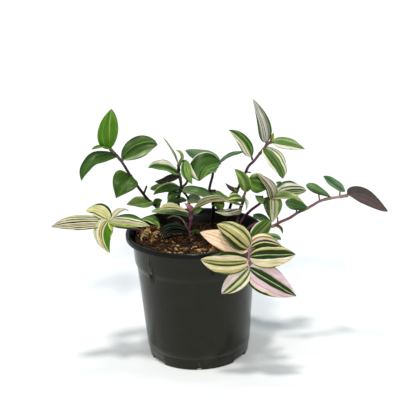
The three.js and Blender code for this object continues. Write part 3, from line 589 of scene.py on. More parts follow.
def new_finish(name, **sockets):
    """A material, its node tree and its shader, with the shader's own values set."""
    finish = bpy.data.materials.new(name)
    finish.use_nodes = True
    tree = finish.node_tree
    shader = tree.nodes["Principled BSDF"]
    fill(tree, shader, {socket.replace("_", " "): value for socket, value in sockets.items()})
    return finish, tree, shader


def leaf_places(tree):
    """The outputs of a corner's place on its leaf or stem, and its span in mm (see Surface)."""
    place, span = (add(tree, "Attribute", attribute_name=name).outputs["Vector"]
                   for name in ("place", "span_mm"))
    return add(tree, "SeparateXYZ", [place]).outputs, span


def streaks(tree, vector, across, along, detail=2.0):
    """Noise drawn out along the grain: about across mm wide and along mm long."""
    stretched = add(tree, "VectorMath", [vector, (1 / across, 1 / along, 1.0)],
                    operation="MULTIPLY")
    return add(tree, "TexNoise", {"Vector": stretched, "Scale": 1.0, "Detail": detail})


def flecked(tree, colour, grain, low, high):
    """A colour that the grain of a noise makes darker and lighter, from low to high times."""
    shade = add(tree, "MapRange", [grain, *NOISE, low, high])
    return add(tree, "VectorMath", {0: colour, "Scale": shade}, operation="SCALE")


def stripe_stops(stripes):
    """Ramp stops for bands given as "colour share, ...", each with soft edges."""
    bands = [band.split() for band in stripes.split(",")]
    total = sum(float(share) for _, share in bands)
    stops, edge = [], 0.0
    for colour, share in bands:
        width = float(share) / total
        tone = linear(LEAF_COLOURS[colour])
        stops.append((edge + STRIPE_SOFTNESS * width, tone))
        stops.append((edge + (1 - STRIPE_SOFTNESS) * width, tone))
        edge += width
    return stops


def blade_finish(name, stripes, plant):
    # Living leaf under a thin wax: its veins run side by side from base to tip, so every
    # marking is a lengthwise stripe with slightly wavy edges, finely streaked between the
    # veins. The wax gives the eye a broad soft gloss, and the thin blade lets a little
    # light through. The underside has less green in it.
    finish, tree, shader = new_finish(name, IOR=1.42, Specular_IOR_Level=0.28,
                                      Specular_Tint=(1.0, 0.99, 0.78, 1.0))
    place, span = leaf_places(tree)
    waver = add(tree, "Math", [streaks(tree, span, 5, 22), 0.09, 0.43], operation="MULTIPLY_ADD")
    frayed = add(tree, "Math", [streaks(tree, span, 0.7, 9), 0.05, waver],
                 operation="MULTIPLY_ADD")
    # Toward the tip the stripes near the margins run out and the inner ones fill the blade.
    gather = add(tree, "MapRange", [place["Y"], 0.55, 1.0, 0.5, 0.27])
    across = add(tree, "Math", [place["X"], gather, frayed], operation="MULTIPLY_ADD")
    bands = add(tree, "ValToRGB", {"Fac": across}, stops=stripe_stops(stripes))
    veins = streaks(tree, span, 0.5, 14)
    lines = add(tree, "MapRange", [streaks(tree, span, 0.55, 45, 1.0), 0.52, 0.66, 0.0, 0.75])
    lined = add(tree, "Mix", {"Factor": lines, "A": bands, "B": (*VEIN_TINT, 1)},
                data_type="RGBA", blend_type="MULTIPLY")
    veined = flecked(tree, lined, veins, 0.82, 1.18)
    upper = flecked(tree, veined, streaks(tree, span, 5, 8), 0.88, 1.12)
    side = add(tree, "MapRange", [place["Z"], -1.0, 1.0, 0.15, 0.0])
    both = add(tree, "Mix", {"Factor": side, "A": upper, "B": (*plant.underside, 1)},
               data_type="RGBA")
    ridges = add(tree, "Bump", {"Height": veins, "Strength": 0.35, "Distance": 0.25 * MM})
    fill(tree, shader, {
        "Base Color": both, "Normal": ridges,
        "Roughness": add(tree, "MapRange", [veins, *NOISE, 0.3, 0.42]), "Subsurface Weight": 0.12,
        "Subsurface Scale": 0.8 * MM, "Subsurface Radius": (1.0, 1.0, 0.4)})
    return finish


def stem_finish(name, tones, blotch=None):
    # Fleshy stem: a juicy rod with a thin clear skin, which gives a narrow wet-looking line
    # of light. Its tones change from root to tip, with fine lengthwise streaks and flecks, and
    # a pale stem may have red blotches of 2 to 3 mm.
    finish, tree, shader = new_finish(name, Roughness=0.38, IOR=1.4, Specular_IOR_Level=0.5)
    place, span = leaf_places(tree)
    drift = add(tree, "Math", [streaks(tree, span, 3, 7), 0.24, -0.12], operation="MULTIPLY_ADD")
    reach = add(tree, "Math", [place["Y"], drift], operation="ADD")
    words = tones.split()
    colour = add(tree, "ValToRGB", {"Fac": reach},
                 stops=[(at / (len(words) - 1), linear(tone)) for at, tone in enumerate(words)])
    if blotch:
        patch = add(tree, "MapRange", [streaks(tree, span, 1.8, 3), 0.44, 0.54, 0.0, 0.9])
        colour = add(tree, "Mix",
                     {"Factor": patch, "A": colour, "B": (*linear(blotch), 1)}, data_type="RGBA")
    grain = streaks(tree, span, 0.4, 5)
    ridges = add(tree, "Bump", {"Height": grain, "Strength": 0.3, "Distance": 0.2 * MM})
    fill(tree, shader, {"Base Color": flecked(tree, colour, grain, 0.72, 1.3), "Normal": ridges})
    return finish


def sheath_finish(name, tone):
    # Papery leaf sheath: a thin dry skin over the stem, dull, pale between darker lines.
    finish, tree, shader = new_finish(name, Roughness=0.55, IOR=1.4)
    lines = streaks(tree, leaf_places(tree)[1], 0.45, 12)
    ridges = add(tree, "Bump", {"Height": lines, "Strength": 0.4, "Distance": 0.2 * MM})
    fill(tree, shader, {"Base Color": flecked(tree, linear(tone), lines, 0.7, 1.35),
                        "Normal": ridges})
    return finish


def painted_shade_finish(settings, name, roughness, gloss, scale, detail, low, high):
    # Plastic darkened as painted shade, for the lip's outer face, the nick and the inside; the two
    # tuples of the pot's plastic above say what each gives the eye.
    finish, tree, shader = new_finish(name, Roughness=roughness, IOR=1.49,
                                      Specular_IOR_Level=gloss)
    where = add(tree, "TexCoord").outputs["Object"]
    cloud = add(tree, "TexNoise", {"Vector": where, "Scale": scale, "Detail": detail})
    fill(tree, shader, {"Base Color": flecked(tree, tuple(settings.plastic), cloud, low, high)})
    return finish


def pot_finish(settings):
    # Injection-moulded black polypropylene: the mould leaves a fine orange-peel surface that
    # blurs reflections to a satin sheen, faintly streaked upward where the melt flowed, with
    # dried dust in patches, most of it low down. The lip, which hands rub, is a bit glossier.
    finish, tree, shader = new_finish(
        "Black polypropylene, moulded", IOR=1.49, Specular_IOR_Level=0.3,
        Specular_Tint=(1.0, 0.98, 0.82, 1.0))
    where = add(tree, "TexCoord").outputs["Object"]
    height = add(tree, "SeparateXYZ", [where]).outputs["Z"]
    flow = add(tree, "Mapping", {"Vector": where, "Scale": (900, 900, 40)})
    flowed = add(tree, "TexNoise", {"Vector": flow, "Scale": 1.0, "Detail": 3.0})
    cloud = add(tree, "TexNoise", {"Vector": where, "Scale": 60.0, "Detail": 5.0})
    peel = add(tree, "TexNoise", {"Vector": where, "Scale": 1600.0, "Detail": 2.0})
    low = add(tree, "MapRange", [height, 0.0, 0.03, 0.55, 0.16])
    patches = add(tree, "MapRange", [cloud, 0.45, 0.75, 0.0, 1.0])
    dusty = add(tree, "Math", [low, patches], operation="MULTIPLY")
    coloured = add(tree, "Mix",
                   {"Factor": dusty, "A": (*settings.plastic, 1), "B": (*settings.dust, 1)},
                   data_type="RGBA")
    rubbed = add(tree, "MapRange", [height, 0.106, 0.1085, 0.0, -0.06])
    satin = add(tree, "MapRange", [cloud, *NOISE, 0.2, 0.3])
    gloss = add(tree, "Math", [satin, rubbed], operation="ADD")
    bump = add(tree, "Bump", {"Height": peel, "Strength": 0.12, "Distance": 0.2 * MM})
    fill(tree, shader, {"Base Color": flecked(tree, coloured, flowed, 0.85, 1.15),
                        "Roughness": gloss, "Normal": bump})
    return finish


def soil_finish(name, tone, other, grain_mm):
    # Damp peat and bark: matt and fibrous, each crumb a little lighter or darker than the next.
    # A noise of scale 1000 has grains of 1 mm, so its grains are grain_mm across here, in
    # patches four times as wide.
    finish, tree, shader = new_finish(name, Roughness=0.9, IOR=1.45, Specular_IOR_Level=0.25)
    where = add(tree, "TexCoord").outputs["Object"]
    coarse = add(tree, "TexNoise",
                 {"Vector": where, "Scale": 250.0 / grain_mm, "Detail": 6.0, "Roughness": 0.65})
    fine = add(tree, "TexNoise",
               {"Vector": where, "Scale": 1000.0 / grain_mm, "Detail": 3.0})
    share = add(tree, "MapRange", [coarse, *NOISE, 0.0, 1.0])
    mixed = add(tree, "Mix", {"Factor": share, "A": (*tone, 1), "B": (*other, 1)},
                data_type="RGBA")
    bump = add(tree, "Bump", {"Height": fine, "Strength": 0.8, "Distance": 0.6 * MM})
    fill(tree, shader, {"Base Color": flecked(tree, mixed, fine, 0.55, 1.5), "Normal": bump})
    return finish


def floor_finish(settings):
    # Matt white paper: no gloss at all, so that only the soft shadows show on it.
    finish, tree, shader = new_finish("White paper, matt", Roughness=1.0, Specular_IOR_Level=0.0)
    where = add(tree, "TexCoord").outputs["Object"]
    fibre = add(tree, "TexNoise", {"Vector": where, "Scale": 900.0, "Detail": 3.0})
    fill(tree, shader, {"Base Color": flecked(tree, tuple(settings.floor), fibre, 0.995, 1.005)})
    return finish


class Surface:
    """Corners, faces and their finishes, gathered in millimetres before they become a mesh.

    A corner is (point, place, span). Its place is its share across and along its leaf or stem,
    and which face it is on; its span is the same in millimetres, with a number that no other
    leaf has.
    """

    def __init__(self):
        self.points, self.places, self.spans = [], [], []
        self.faces, self.slots, self.finishes = [], [], []

    def slot_of(self, finish):
        if finish not in self.finishes:
            self.finishes.append(finish)
        return self.finishes.index(finish)

    def add_faces(self, corners, faces, finish):
        start = len(self.points)
        for point, place, span in corners:
            self.points.append(Vector(point))
            self.places.append(place)
            self.spans.append(span)
        self.faces += [tuple(start + corner for corner in face) for face in faces]
        self.slots += [self.slot_of(finish)] * len(faces)

    def add_rows(self, rows, finish):
        """A closed skin of squares over rings of corners, with a face over either end."""
        width, last = len(rows[0]), (len(rows) - 1) * len(rows[0])
        faces = []
        for row in range(0, last, width):
            for column in range(width):
                a, b = row + column, row + (column + 1) % width
                faces.append((a, b, b + width, a + width))
        faces += [tuple(reversed(range(width))), tuple(range(last, last + width))]
        self.add_faces([corner for row in rows for corner in row], faces, finish)

    def add_lump(self, points, faces, finish):
        self.add_faces([(point, (0, 0, 1), tuple(point)) for point in points], faces, finish)

    def to_piece(self, name):
        mesh = bpy.data.meshes.new(name)
        mesh.from_pydata([point * MM for point in self.points], [], self.faces)
        for finish in self.finishes:
            mesh.materials.append(finish)
        mesh.polygons.foreach_set("material_index", self.slots)
        mesh.polygons.foreach_set("use_smooth", [True] * len(self.faces))
        for layer, values in (("place", self.places), ("span_mm", self.spans)):
            made = mesh.attributes.new(layer, "FLOAT_VECTOR", "POINT")
            made.data.foreach_set("vector", [share for value in values for share in value])
        mesh.update()
        piece = bpy.data.objects.new(name, mesh)
        bpy.context.scene.collection.objects.link(piece)
        return piece


def stand_for(piece, node, slot):
    """Lets a piece stand for a solid of the frame, and hides that solid; slot is not used."""
    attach(piece, "root")
    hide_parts(node)


def smooth_route(points, step):
    """Points about step apart on a centripetal Catmull-Rom curve through these points."""
    knots = [Vector(point) for point in points]
    knots = [knots[0] * 2 - knots[1], *knots, knots[-1] * 2 - knots[-2]]
    made = []
    for a, b, c, d in zip(knots, knots[1:], knots[2:], knots[3:]):
        before, between, after = ((q - p).length ** 0.5 for p, q in ((a, b), (b, c), (c, d)))
        leave = (b - a) / before - (c - a) / (before + between) + (c - b) / between
        arrive = (c - b) / between - (d - b) / (between + after) + (d - c) / after
        leave, arrive = leave * between, arrive * between
        count = max(2, round((c - b).length / step))
        for index in range(count):
            t = index / count
            made.append(b * (2 * t ** 3 - 3 * t ** 2 + 1) + leave * (t ** 3 - 2 * t ** 2 + t)
                        + c * (3 * t ** 2 - 2 * t ** 3) + arrive * (t ** 3 - t ** 2))
    return [*made, knots[-2]]


def ring_frames(path):
    """At each point of a path, two directions across it that turn as little as they can."""
    ways = [(after - before).normalized()
            for before, after in zip([path[0], *path], [*path[1:], path[-1]])]
    first = ways[0].orthogonal().normalized()
    frames = []
    for way in ways:
        first = (first - way * first.dot(way)).normalized()
        frames.append((first.copy(), way.cross(first)))
    return frames


def distances(path):
    """The distance along a path at each of its points."""
    made = [0.0]
    for before, after in zip(path, path[1:]):
        made.append(made[-1] + (after - before).length)
    return made


def rod_ring(centre, radius, across, share, gone, seed, sides=ROD_SIDES):
    """A ring of corners round a rod, at this share and distance along it."""
    row = []
    for side in range(sides):
        angle = math.tau * side / sides
        out = across[0] * math.cos(angle) + across[1] * math.sin(angle)
        around = abs(side / sides * 2 - 1)
        row.append((centre + out * radius, (around, share, 1),
                    (around * radius * math.pi, gone, seed)))
    return row


def add_rod(surface, path, radii, finish, root, reach, seed, sides=ROD_SIDES):
    """A round rod along a path, with a rounded end."""
    frames, travel = ring_frames(path), distances(path)
    tip = (path[-1] - path[-2]).normalized() * radii[-1]
    rings = list(zip(path, radii, frames, travel))
    for share in ROUNDED_END:
        rings.append((path[-1] + tip * share, radii[-1] * math.sqrt(1 - share * share),
                      frames[-1], travel[-1]))
    surface.add_rows([rod_ring(centre, radius, across, min(1.0, (centre - root).length / reach),
                               gone, seed, sides)
                      for centre, radius, across, gone in rings], finish)


def blade_outline(along, widest):
    """Half the blade's width along its midrib, as a share of the greatest half width."""
    rise = (along / widest) ** (widest * BLADE_FULLNESS)
    fall = ((1 - along) / (1 - widest)) ** ((1 - widest) * BLADE_FULLNESS)
    return rise * fall


def add_blade(surface, blade, finish, seed, plant):
    """A thin blade: its midrib is an arc, and its halves fold up, bulge and wave a little."""
    midrib, face_way, width, fold_degrees, _, *rest = blade
    widest = rest[0] if rest else BLADE_WIDEST_AT
    halves = widest if isinstance(widest, tuple) else (widest, widest)
    start, centre, end = (Vector(point) for point in midrib)
    bend = centre * 2 - (start + end) / 2
    fold = math.radians(fold_degrees)
    length = (centre - start).length + (end - centre).length
    thickness, wave = plant.blade_thickness / MM, plant.waviness / MM
    draw = random.Random(seed)
    turns, phase = draw.uniform(*WAVE_TURNS), draw.uniform(0, math.tau)
    columns = range(BLADE_COLUMNS + 1)
    rows = []
    for row in range(BLADE_ROWS + 1):
        along = (1 - math.cos(math.pi * row / BLADE_ROWS)) / 2
        point = start * (1 - along) ** 2 + bend * 2 * along * (1 - along) + end * along ** 2
        tangent = ((bend - start) * (1 - along) + (end - bend) * along).normalized()
        face = Vector(face_way)
        face = (face - tangent * face.dot(tangent)).normalized()
        side = tangent.cross(face)
        ring = []
        for level, column in [(1, at) for at in columns] + [(-1, at) for at in columns[::-1]]:
            across = 2 * column / BLADE_COLUMNS - 1
            out = abs(across)
            half = width / 2 * blade_outline(along, halves[across > 0])
            lift = half * (out * math.sin(fold) + BLADE_BULGE * out * (1 - out))
            swing = math.sin(math.tau * turns * along + phase
                             + (WAVE_SHIFT if across > 0 else 0))
            lift += wave * swing * out ** 2 * min(1, half / WAVE_FULL_AT)
            lift -= (GROOVE_DEPTH * math.exp(-(out * half / GROOVE_WIDTH) ** 2)
                     * min(1, half / GROOVE_FULL_AT))
            thick = (thickness / 2 * (1 - MARGIN_THINNING * out ** 2)
                     * min(1, TIP_THICKNESS + half / THICK_FULL_AT))
            at = (point + side * half * across * math.cos(fold)
                  + face * (lift + level * thick))
            ring.append((at, (across, along, level), (half * across, along * length, seed * 7)))
        rows.append(ring)
    surface.add_rows(rows, finish)


def nearest(path, point):
    """The index of the path's point that is nearest to a point."""
    return min(range(len(path)), key=lambda index: (path[index] - point).length)


def add_sheath(surface, path, radii, at, finish, seed, plant, length):
    """A thin sleeve round the stem below a blade's base, with hairs at its mouth."""
    travel = distances(path)
    inside = [index for index in range(len(path))
              if travel[at] - length <= travel[index] <= travel[at] + SHEATH_PAST]
    if len(inside) < 3:
        return
    frames = ring_frames(path)
    rows = []
    for index in inside:
        share = (index - inside[0]) / (inside[-1] - inside[0])
        radius = radii[index] + SHEATH_GAP + SHEATH_FLARE * share ** 2
        rows.append(rod_ring(path[index], radius, frames[index], share, travel[index], seed * 3))
    surface.add_rows(rows, finish)
    draw = random.Random(seed)
    mouth, way = path[inside[-1]], (path[inside[-1]] - path[inside[-2]]).normalized()
    first, second = frames[inside[-1]]
    for _ in range(HAIR_COUNT):
        angle = draw.uniform(0, math.tau)
        out = first * math.cos(angle) + second * math.sin(angle)
        root = mouth + out * (radii[inside[-1]] + HAIR_ROOT)
        lean = (way + out * draw.uniform(*HAIR_LEANS)).normalized()
        end = root + lean * plant.hair_length / MM * draw.uniform(*HAIR_SHARES)
        across = lean.orthogonal().normalized() * HAIR_RADIUS
        beside = lean.cross(across)
        feet = [root + across, root - across * 0.5 + beside * 0.87,
                root - across * 0.5 - beside * 0.87]
        surface.add_lump([*feet, end], [(0, 1, 3), (1, 2, 3), (2, 0, 3), (2, 1, 0)], finish)


def build_leafy_stem(stem, number, plant):
    """One leafy stem: its rods with their swollen nodes, its sheaths and its blades."""
    surface = Surface()
    label = stem["node"].replace("stem_", "").replace("_", " ")
    flesh = stem_finish(f"Fleshy stem, {label}", stem["tones"], stem.get("blotch"))
    papery = sheath_finish(f"Papery sheath, {label}", stem["sheath"])
    shoot = stem_finish(f"Fleshy shoot, {label}", stem.get("shoot_tones", stem["tones"]))
    root = Vector(stem["route"][0])
    bases = [Vector(blade[0][0]) for blade in stem["blades"]]
    reach = max((base - root).length for base in bases)
    rods = []
    for radius, route in [(plant.stem_radius / MM, stem["route"]), *stem["shoots"]]:
        path = smooth_route(route, ROD_STEP)
        radii = [radius * (1 - ROD_TAPER * at / len(path)) for at in range(len(path))]
        rods.append((path, radii, []))
    for base in bases:
        rod = min(rods, key=lambda rod: (rod[0][nearest(rod[0], base)] - base).length)
        rod[2].append(nearest(rod[0], base))
    for index, (path, radii, joints) in enumerate(rods):
        travel = distances(path)
        for at in joints:
            for spot, gone in enumerate(travel):
                away = (gone - travel[at] + NODE_BELOW) / NODE_LENGTH
                radii[spot] *= 1 + NODE_SWELL * math.exp(-away ** 2)
        add_rod(surface, path, radii, shoot if index else flesh, root, reach, number * 5 + index)
        for at in joints:
            add_sheath(surface, path, radii, at, papery, number * 50 + at, plant,
                       stem.get("sheath_length", SHEATH_LENGTH))
    for index, blade in enumerate(stem["blades"]):
        finish = blade_finish(f"Waxy leaf, {label} {index + 1}", blade[4], plant)
        add_blade(surface, blade, finish, number * 20 + index, plant)
    stand_for(surface.to_piece("leafy_" + stem["node"]), stem["node"], stem["slot"])


def polar(away, angle):
    """A place this far from the axis, at this angle round it."""
    return away * math.cos(angle), away * math.sin(angle)


def turned_rows(outline, angles, proud=None):
    """Rings of corners for an outline of (radius, height), with the soil's height for None."""
    rows = []
    for radius, height in outline:
        row = []
        for angle in angles:
            x, y = polar(radius + (proud(height, angle) if proud else 0), angle)
            point = (x, y, soil_surface(x, y) if height is None else height)
            row.append((point, (0, 0, 1), point))
        rows.append(row)
    return rows


def pot_angles():
    """Angles round the pot, close together where a rib stands."""
    whole = [math.radians(360 * step / POT_SIDES) for step in range(POT_SIDES)]
    near = [math.radians(top - RIB_MARGIN + RIB_STEP * step) for top, foot in RIBS
            for step in range(round((foot - top + 2 * RIB_MARGIN) / RIB_STEP) + 1)]
    return sorted(set(round(angle, 6) for angle in whole + near))


def build_pot(settings):
    """The pot: its turned wall with four moulded ribs and the drains cut at its foot."""
    surface, angles, rib = Surface(), pot_angles(), settings.rib_height / MM

    def proud(height, angle):
        degrees = math.degrees(angle)
        if abs(degrees - NICK_DEGREES) < NICK_REACH and NICK_FOOT < height < NICK_TOP + 0.1:
            return -NICK_DEPTH
        if not RIB_FOOT - 1.5 <= height <= RIB_TOP:
            return 0
        down = (RIB_TOP - height) / (RIB_TOP - RIB_FOOT)
        turn = min(abs((degrees - top - (foot - top) * down + 180) % 360 - 180)
                   for top, foot in RIBS)
        return rib * max(0, 1 - turn ** 4)

    fine = []
    for (r0, z0), (r1, z1) in zip(POT_OUTSIDE, POT_OUTSIDE[1:]):
        count = max(1, round(abs(z1 - z0) / 6))
        fine += [(r0 + (r1 - r0) * k / count, z0 + (z1 - z0) * k / count) for k in range(count)]
    outline = [(0.01, 0), (30, 0), *fine, POT_OUTSIDE[-1], *POT_INSIDE, (0.01, 1.7)]
    surface.add_rows(turned_rows(outline, angles, proud), pot_finish(settings))
    # The inside, the lip's outer face and the nick take plastic darkened as painted shade.
    inside, lip = (surface.slot_of(painted_shade_finish(settings, *look))
                   for look in (PAINTED_SHADE_INSIDE, PAINTED_SHADE_LIP_NICK))
    for index, face in enumerate(surface.faces):
        # Faces of the inside take the plastic darkened as painted shade.
        if face[0] // len(angles) >= len(fine) + 2:
            surface.slots[index] = inside
        middle = sum((surface.points[corner] for corner in face), Vector()) / len(face)
        around = math.degrees(math.atan2(middle.y, middle.x)) % 360
        away = math.hypot(middle.x, middle.y)
        # The nick and the lip's outer face get the plastic darkened as painted shade.
        in_shaded_nick = (away > NICK_RADIUS and NICK_FOOT < middle.z < NICK_TOP
                   and abs(around - NICK_DEGREES) < NICK_SHADE_REACH)
        if in_shaded_nick or (away > LIP_RADIUS and LIP_FOOT < middle.z < LIP_TOP):
            surface.slots[index] = lip
    piece = surface.to_piece("nursery_pot")
    cutters = [drain_cutter(piece, width, height, angle)
               for width, height, degrees in DRAINS for angle in degrees]
    settle(piece)
    for cutter in cutters:
        bpy.data.objects.remove(cutter)
    stand_for(piece, "pot", "pot_plastic")


def drain_cutter(piece, width, height, angle):
    """An arched block that a modifier of the pot cuts out of its foot at this bearing."""
    block = bmesh.new()
    right = [(width * across, height * up) for across, up in DRAIN_ARCH]
    left = [(-across, up) for across, up in reversed(right)]
    arch = [(-width / 2, -1), (width / 2, -1), *right, *left]
    near, far = ([block.verts.new((reach * MM, across * MM, up * MM)) for across, up in arch]
                 for reach in (DRAIN_NEAR, DRAIN_FAR))
    block.faces.new(near)
    block.faces.new(far[::-1])
    for at in range(len(arch)):
        after = (at + 1) % len(arch)
        block.faces.new((near[after], near[at], far[at], far[after]))
    bmesh.ops.recalc_face_normals(block, faces=block.faces)
    bmesh.ops.rotate(block, verts=block.verts,
                     matrix=Matrix.Rotation(math.radians(angle), 3, "Z"))
    mesh = bpy.data.meshes.new("drain_cutter")
    block.to_mesh(mesh)
    block.free()
    cutter = bpy.data.objects.new("drain_cutter", mesh)
    bpy.context.scene.collection.objects.link(cutter)
    cut = piece.modifiers.new("Drain", "BOOLEAN")
    cut.operation, cut.object, cut.solver = "DIFFERENCE", cutter, "EXACT"
    return cutter


def settle(piece):
    """Makes a piece's modifiers part of its mesh."""
    bpy.context.view_layer.update()
    graph = bpy.context.evaluated_depsgraph_get()
    mesh = bpy.data.meshes.new_from_object(piece.evaluated_get(graph))
    piece.modifiers.clear()
    piece.data = mesh


def soil_height(x, y):
    """Height of the soil: heaped against the front-left wall and uneven all over."""
    heap = SOIL_HEAP * (-x - y) / (math.sqrt(2) * COLLAR_RADIUS)
    rough = math.sin(x * 0.31 + 1) * math.cos(y * 0.27) + 0.6 * math.sin(x * 0.7 - y * 0.53)
    return SOIL_LEVEL + heap + rough


def soil_surface(x, y):
    """The soil's height with its mound, crumbs and hollows."""
    crumbly = noise.fractal(Vector((x, y, 0)) * CRUMBLY_SCALE, 0.7, 2.2, 4)
    mound = math.exp(-((x - MOUND_X) / MOUND_ACROSS) ** 2 - ((y - MOUND_Y) / MOUND_ALONG) ** 2)
    return soil_height(x, y) + CRUMBLY_HEIGHT * crumbly + MOUND_HEIGHT * mound


def lump(draw, centre, sizes, turn, roughness=0.25):
    """The corners of a rough block: an icosahedron's, scaled, each pushed in or out a little."""
    ready = []
    for corner in LUMP_CORNERS:
        push = LUMP_SCALE * (1 + draw.uniform(-roughness, roughness))
        ready.append(turn @ Vector([c * push * size for c, size in zip(corner, sizes)])
                     + Vector(centre))
    return ready


def lump_faces():
    """The twenty triangles of that block: every three corners that are an edge apart."""
    faces = []
    for a, b, c in itertools.combinations(range(len(LUMP_CORNERS)), 3):
        p, q, r = (Vector(LUMP_CORNERS[at]) for at in (a, b, c))
        if max((p - q).length, (q - r).length, (r - p).length) < 2.02:
            faces.append((a, b, c) if (q - p).cross(r - p).dot(p) > 0 else (a, c, b))
    return faces


def seeded_draws(seed):
    """The same repeatable draws that place the large chips of the frame's solid."""
    state = seed
    while True:
        state = (state * 1664525 + 1013904223) % 4294967296
        yield state / 4294967296


def scattered(draw, radius):
    """A place drawn evenly from within this radius of the axis."""
    angle = draw.uniform(0, math.tau)
    return polar(radius * math.sqrt(draw.random()), angle)


def tumbled(draw, lean):
    """A turn to any side, with a lean of up to this many radians."""
    heading = Matrix.Rotation(draw.uniform(0, math.tau), 3, "Z")
    return heading @ Matrix.Rotation(draw.uniform(-lean, lean), 3, "X")


def add_bark(surface, faces, finishes):
    """The large chips of bark, where the frame's solid has them."""
    draws, jitter = seeded_draws(7), random.Random(3)
    for _ in range(CHIP_COUNT):
        angle = math.tau * next(draws)
        x, y = polar((COLLAR_RADIUS - CHIP_INSET) * math.sqrt(next(draws)), angle)
        sizes = [least + (most - least) * next(draws) for least, most in CHIP_SIZES]
        tilt = Matrix.Rotation(CHIP_TILT * (next(draws) - 0.5), 3, "Y")
        turn = Matrix.Rotation(math.tau * next(draws), 3, "Z") @ tilt
        corners = lump(jitter, (x, y, soil_height(x, y)), sizes, turn)
        surface.add_lump(corners, faces, jitter.choice(finishes))


def add_crumbs(surface, faces, draw, count, finishes):
    """Loose crumbs all over, with more bark and straw among them toward the front."""
    for _ in range(count):
        x, y = scattered(draw, LOOSE_RADIUS)
        size = CRUMB_LEAST + (CRUMB_MOST - CRUMB_LEAST) * draw.random() ** CRUMB_FINENESS
        sizes = [size * draw.uniform(*share) for share in CRUMB_SIDES]
        turn = tumbled(draw, CRUMB_LEAN)
        centre = (x, y, soil_surface(x, y) + size * 0.2)
        corners = lump(draw, centre, sizes, turn, CRUMB_ROUGHNESS)
        front = (0.3 * abs(x) - y) / SOIL_RADIUS - 0.6 * max(0, -x - y - 30) / SOIL_RADIUS
        weights = (3.5, 3, max(0.4, 1.4 + front), max(0.1, 0.5 + front))
        surface.add_lump(corners, faces, draw.choices(finishes, weights)[0])


def add_fibres(surface, draw, count, finishes):
    """Fine fibres that lie in low bows on the soil."""
    for _ in range(count):
        x, y = scattered(draw, SOIL_RADIUS - 6)
        heading, bend = draw.uniform(0, math.tau), draw.uniform(-FIBRE_BEND, FIBRE_BEND)
        path = []
        for step in range(FIBRE_POINTS):
            up = FIBRE_LIFT + FIBRE_BOW * math.sin(step * 0.39)
            path.append(Vector((x, y, soil_surface(x, y) + up)))
            x, y = x + math.cos(heading), y + math.sin(heading)
            heading += bend
            if math.hypot(x, y) > LOOSE_RADIUS:
                break
        if len(path) < 4:
            continue
        thin = draw.uniform(*FIBRE_RADII)
        radii = [thin * (1 - 0.4 * at / len(path)) for at in range(len(path))]
        finish = draw.choices(finishes, (2, 2, 1.2))[0]
        add_rod(surface, path, radii, finish, path[0], 10, 1, sides=5)


def add_curls(surface, draw, count, finishes):
    """Curled fibres heaped on the mound."""
    for _ in range(count):
        angle, away = draw.uniform(0, math.tau), math.sqrt(draw.random())
        x = MOUND_X + 4 + CURLS_ACROSS * away * math.cos(angle)
        y = MOUND_Y + CURLS_ALONG * away * math.sin(angle)
        x, y = (value * min(1, (SOIL_RADIUS - 3) / math.hypot(x, y)) for value in (x, y))
        middle = Vector((x, y, soil_surface(x, y) + draw.uniform(*CURL_LIFTS)))
        flat = Vector((math.cos(angle * 3), math.sin(angle * 3), draw.uniform(-0.3, 0.3)))
        steep = flat.orthogonal().normalized()
        steep = (steep + Vector((0, 0, draw.uniform(0.2, 1.2)))).normalized()
        reach, sweep = draw.uniform(*CURL_ARCS), draw.uniform(*CURL_SWEEPS)
        path = []
        for at in range(CURL_POINTS):
            turn = sweep * at / (CURL_POINTS - 1)
            path.append(middle + (flat * math.cos(turn) + steep * math.sin(turn)) * reach)
        thick = draw.uniform(*CURL_RADII)
        radii = [thick * (0.5 + 0.5 * math.sin(math.pi * (at + 1) / (CURL_POINTS + 1)))
                 for at in range(CURL_POINTS)]
        finish = draw.choices(finishes, (4, 2.5, 1))[0]
        add_rod(surface, path, radii, finish, path[0], 10, 1, sides=6)


def add_wood_chips(surface, faces, draw, count, finishes):
    """Pale chips of wood along the front of the wall."""
    for _ in range(count):
        along, back = draw.uniform(-1, 1), draw.random() ** 1.5
        x, y = polar(SOIL_RADIUS - 4 - WOOD_BAND * back, math.radians(270 + WOOD_SPREAD * along))
        size = draw.uniform(*WOOD_SIZES)
        turn = tumbled(draw, WOOD_LEAN)
        centre = (x, y, soil_surface(x, y) + 0.5)
        corners = lump(draw, centre, [size * share for share in WOOD_SIDES], turn, WOOD_ROUGHNESS)
        surface.add_lump(corners, faces, draw.choices(finishes, (3, 1.3, 1))[0])


def build_soil(settings):
    """The potting mix: its crumbly surface with large chips, loose crumbs and fibres."""
    peat = soil_finish("Damp peat, loose", settings.peat, linear("2a190d"), 3.0)
    brown = soil_finish("Brown peat, crumbled", linear("22140a"), settings.bark, 2.0)
    bark = soil_finish("Pine bark, chipped", settings.bark, linear("3c2413"), 1.5)
    straw = soil_finish("Dry fibre, straw-coloured", settings.straw, settings.bark, 1.5)
    pale = soil_finish("Wood chip, freshly split", linear("e3c695"), settings.straw, 1.2)
    surface, faces, draw = Surface(), lump_faces(), random.Random(11)
    rings = [(SOIL_RADIUS * (ring / SOIL_RINGS) ** 0.8, None) for ring in range(SOIL_RINGS, 0, -1)]
    angles = [math.tau * step / SOIL_SIDES for step in range(SOIL_SIDES)]
    surface.add_rows(turned_rows([(0.01, SOIL_FOOT[1]), *SOIL_WALL, *rings], angles), peat)
    add_bark(surface, faces, (bark, brown, brown))
    add_crumbs(surface, faces, draw, settings.crumbs, (peat, brown, bark, straw))
    add_fibres(surface, draw, settings.fibres, (brown, bark, straw))
    add_curls(surface, draw, settings.curls, (straw, pale, bark))
    add_wood_chips(surface, faces, draw, settings.wood_chips, (straw, pale, bark))
    stand_for(surface.to_piece("potting_mix"), "soil", "soil")


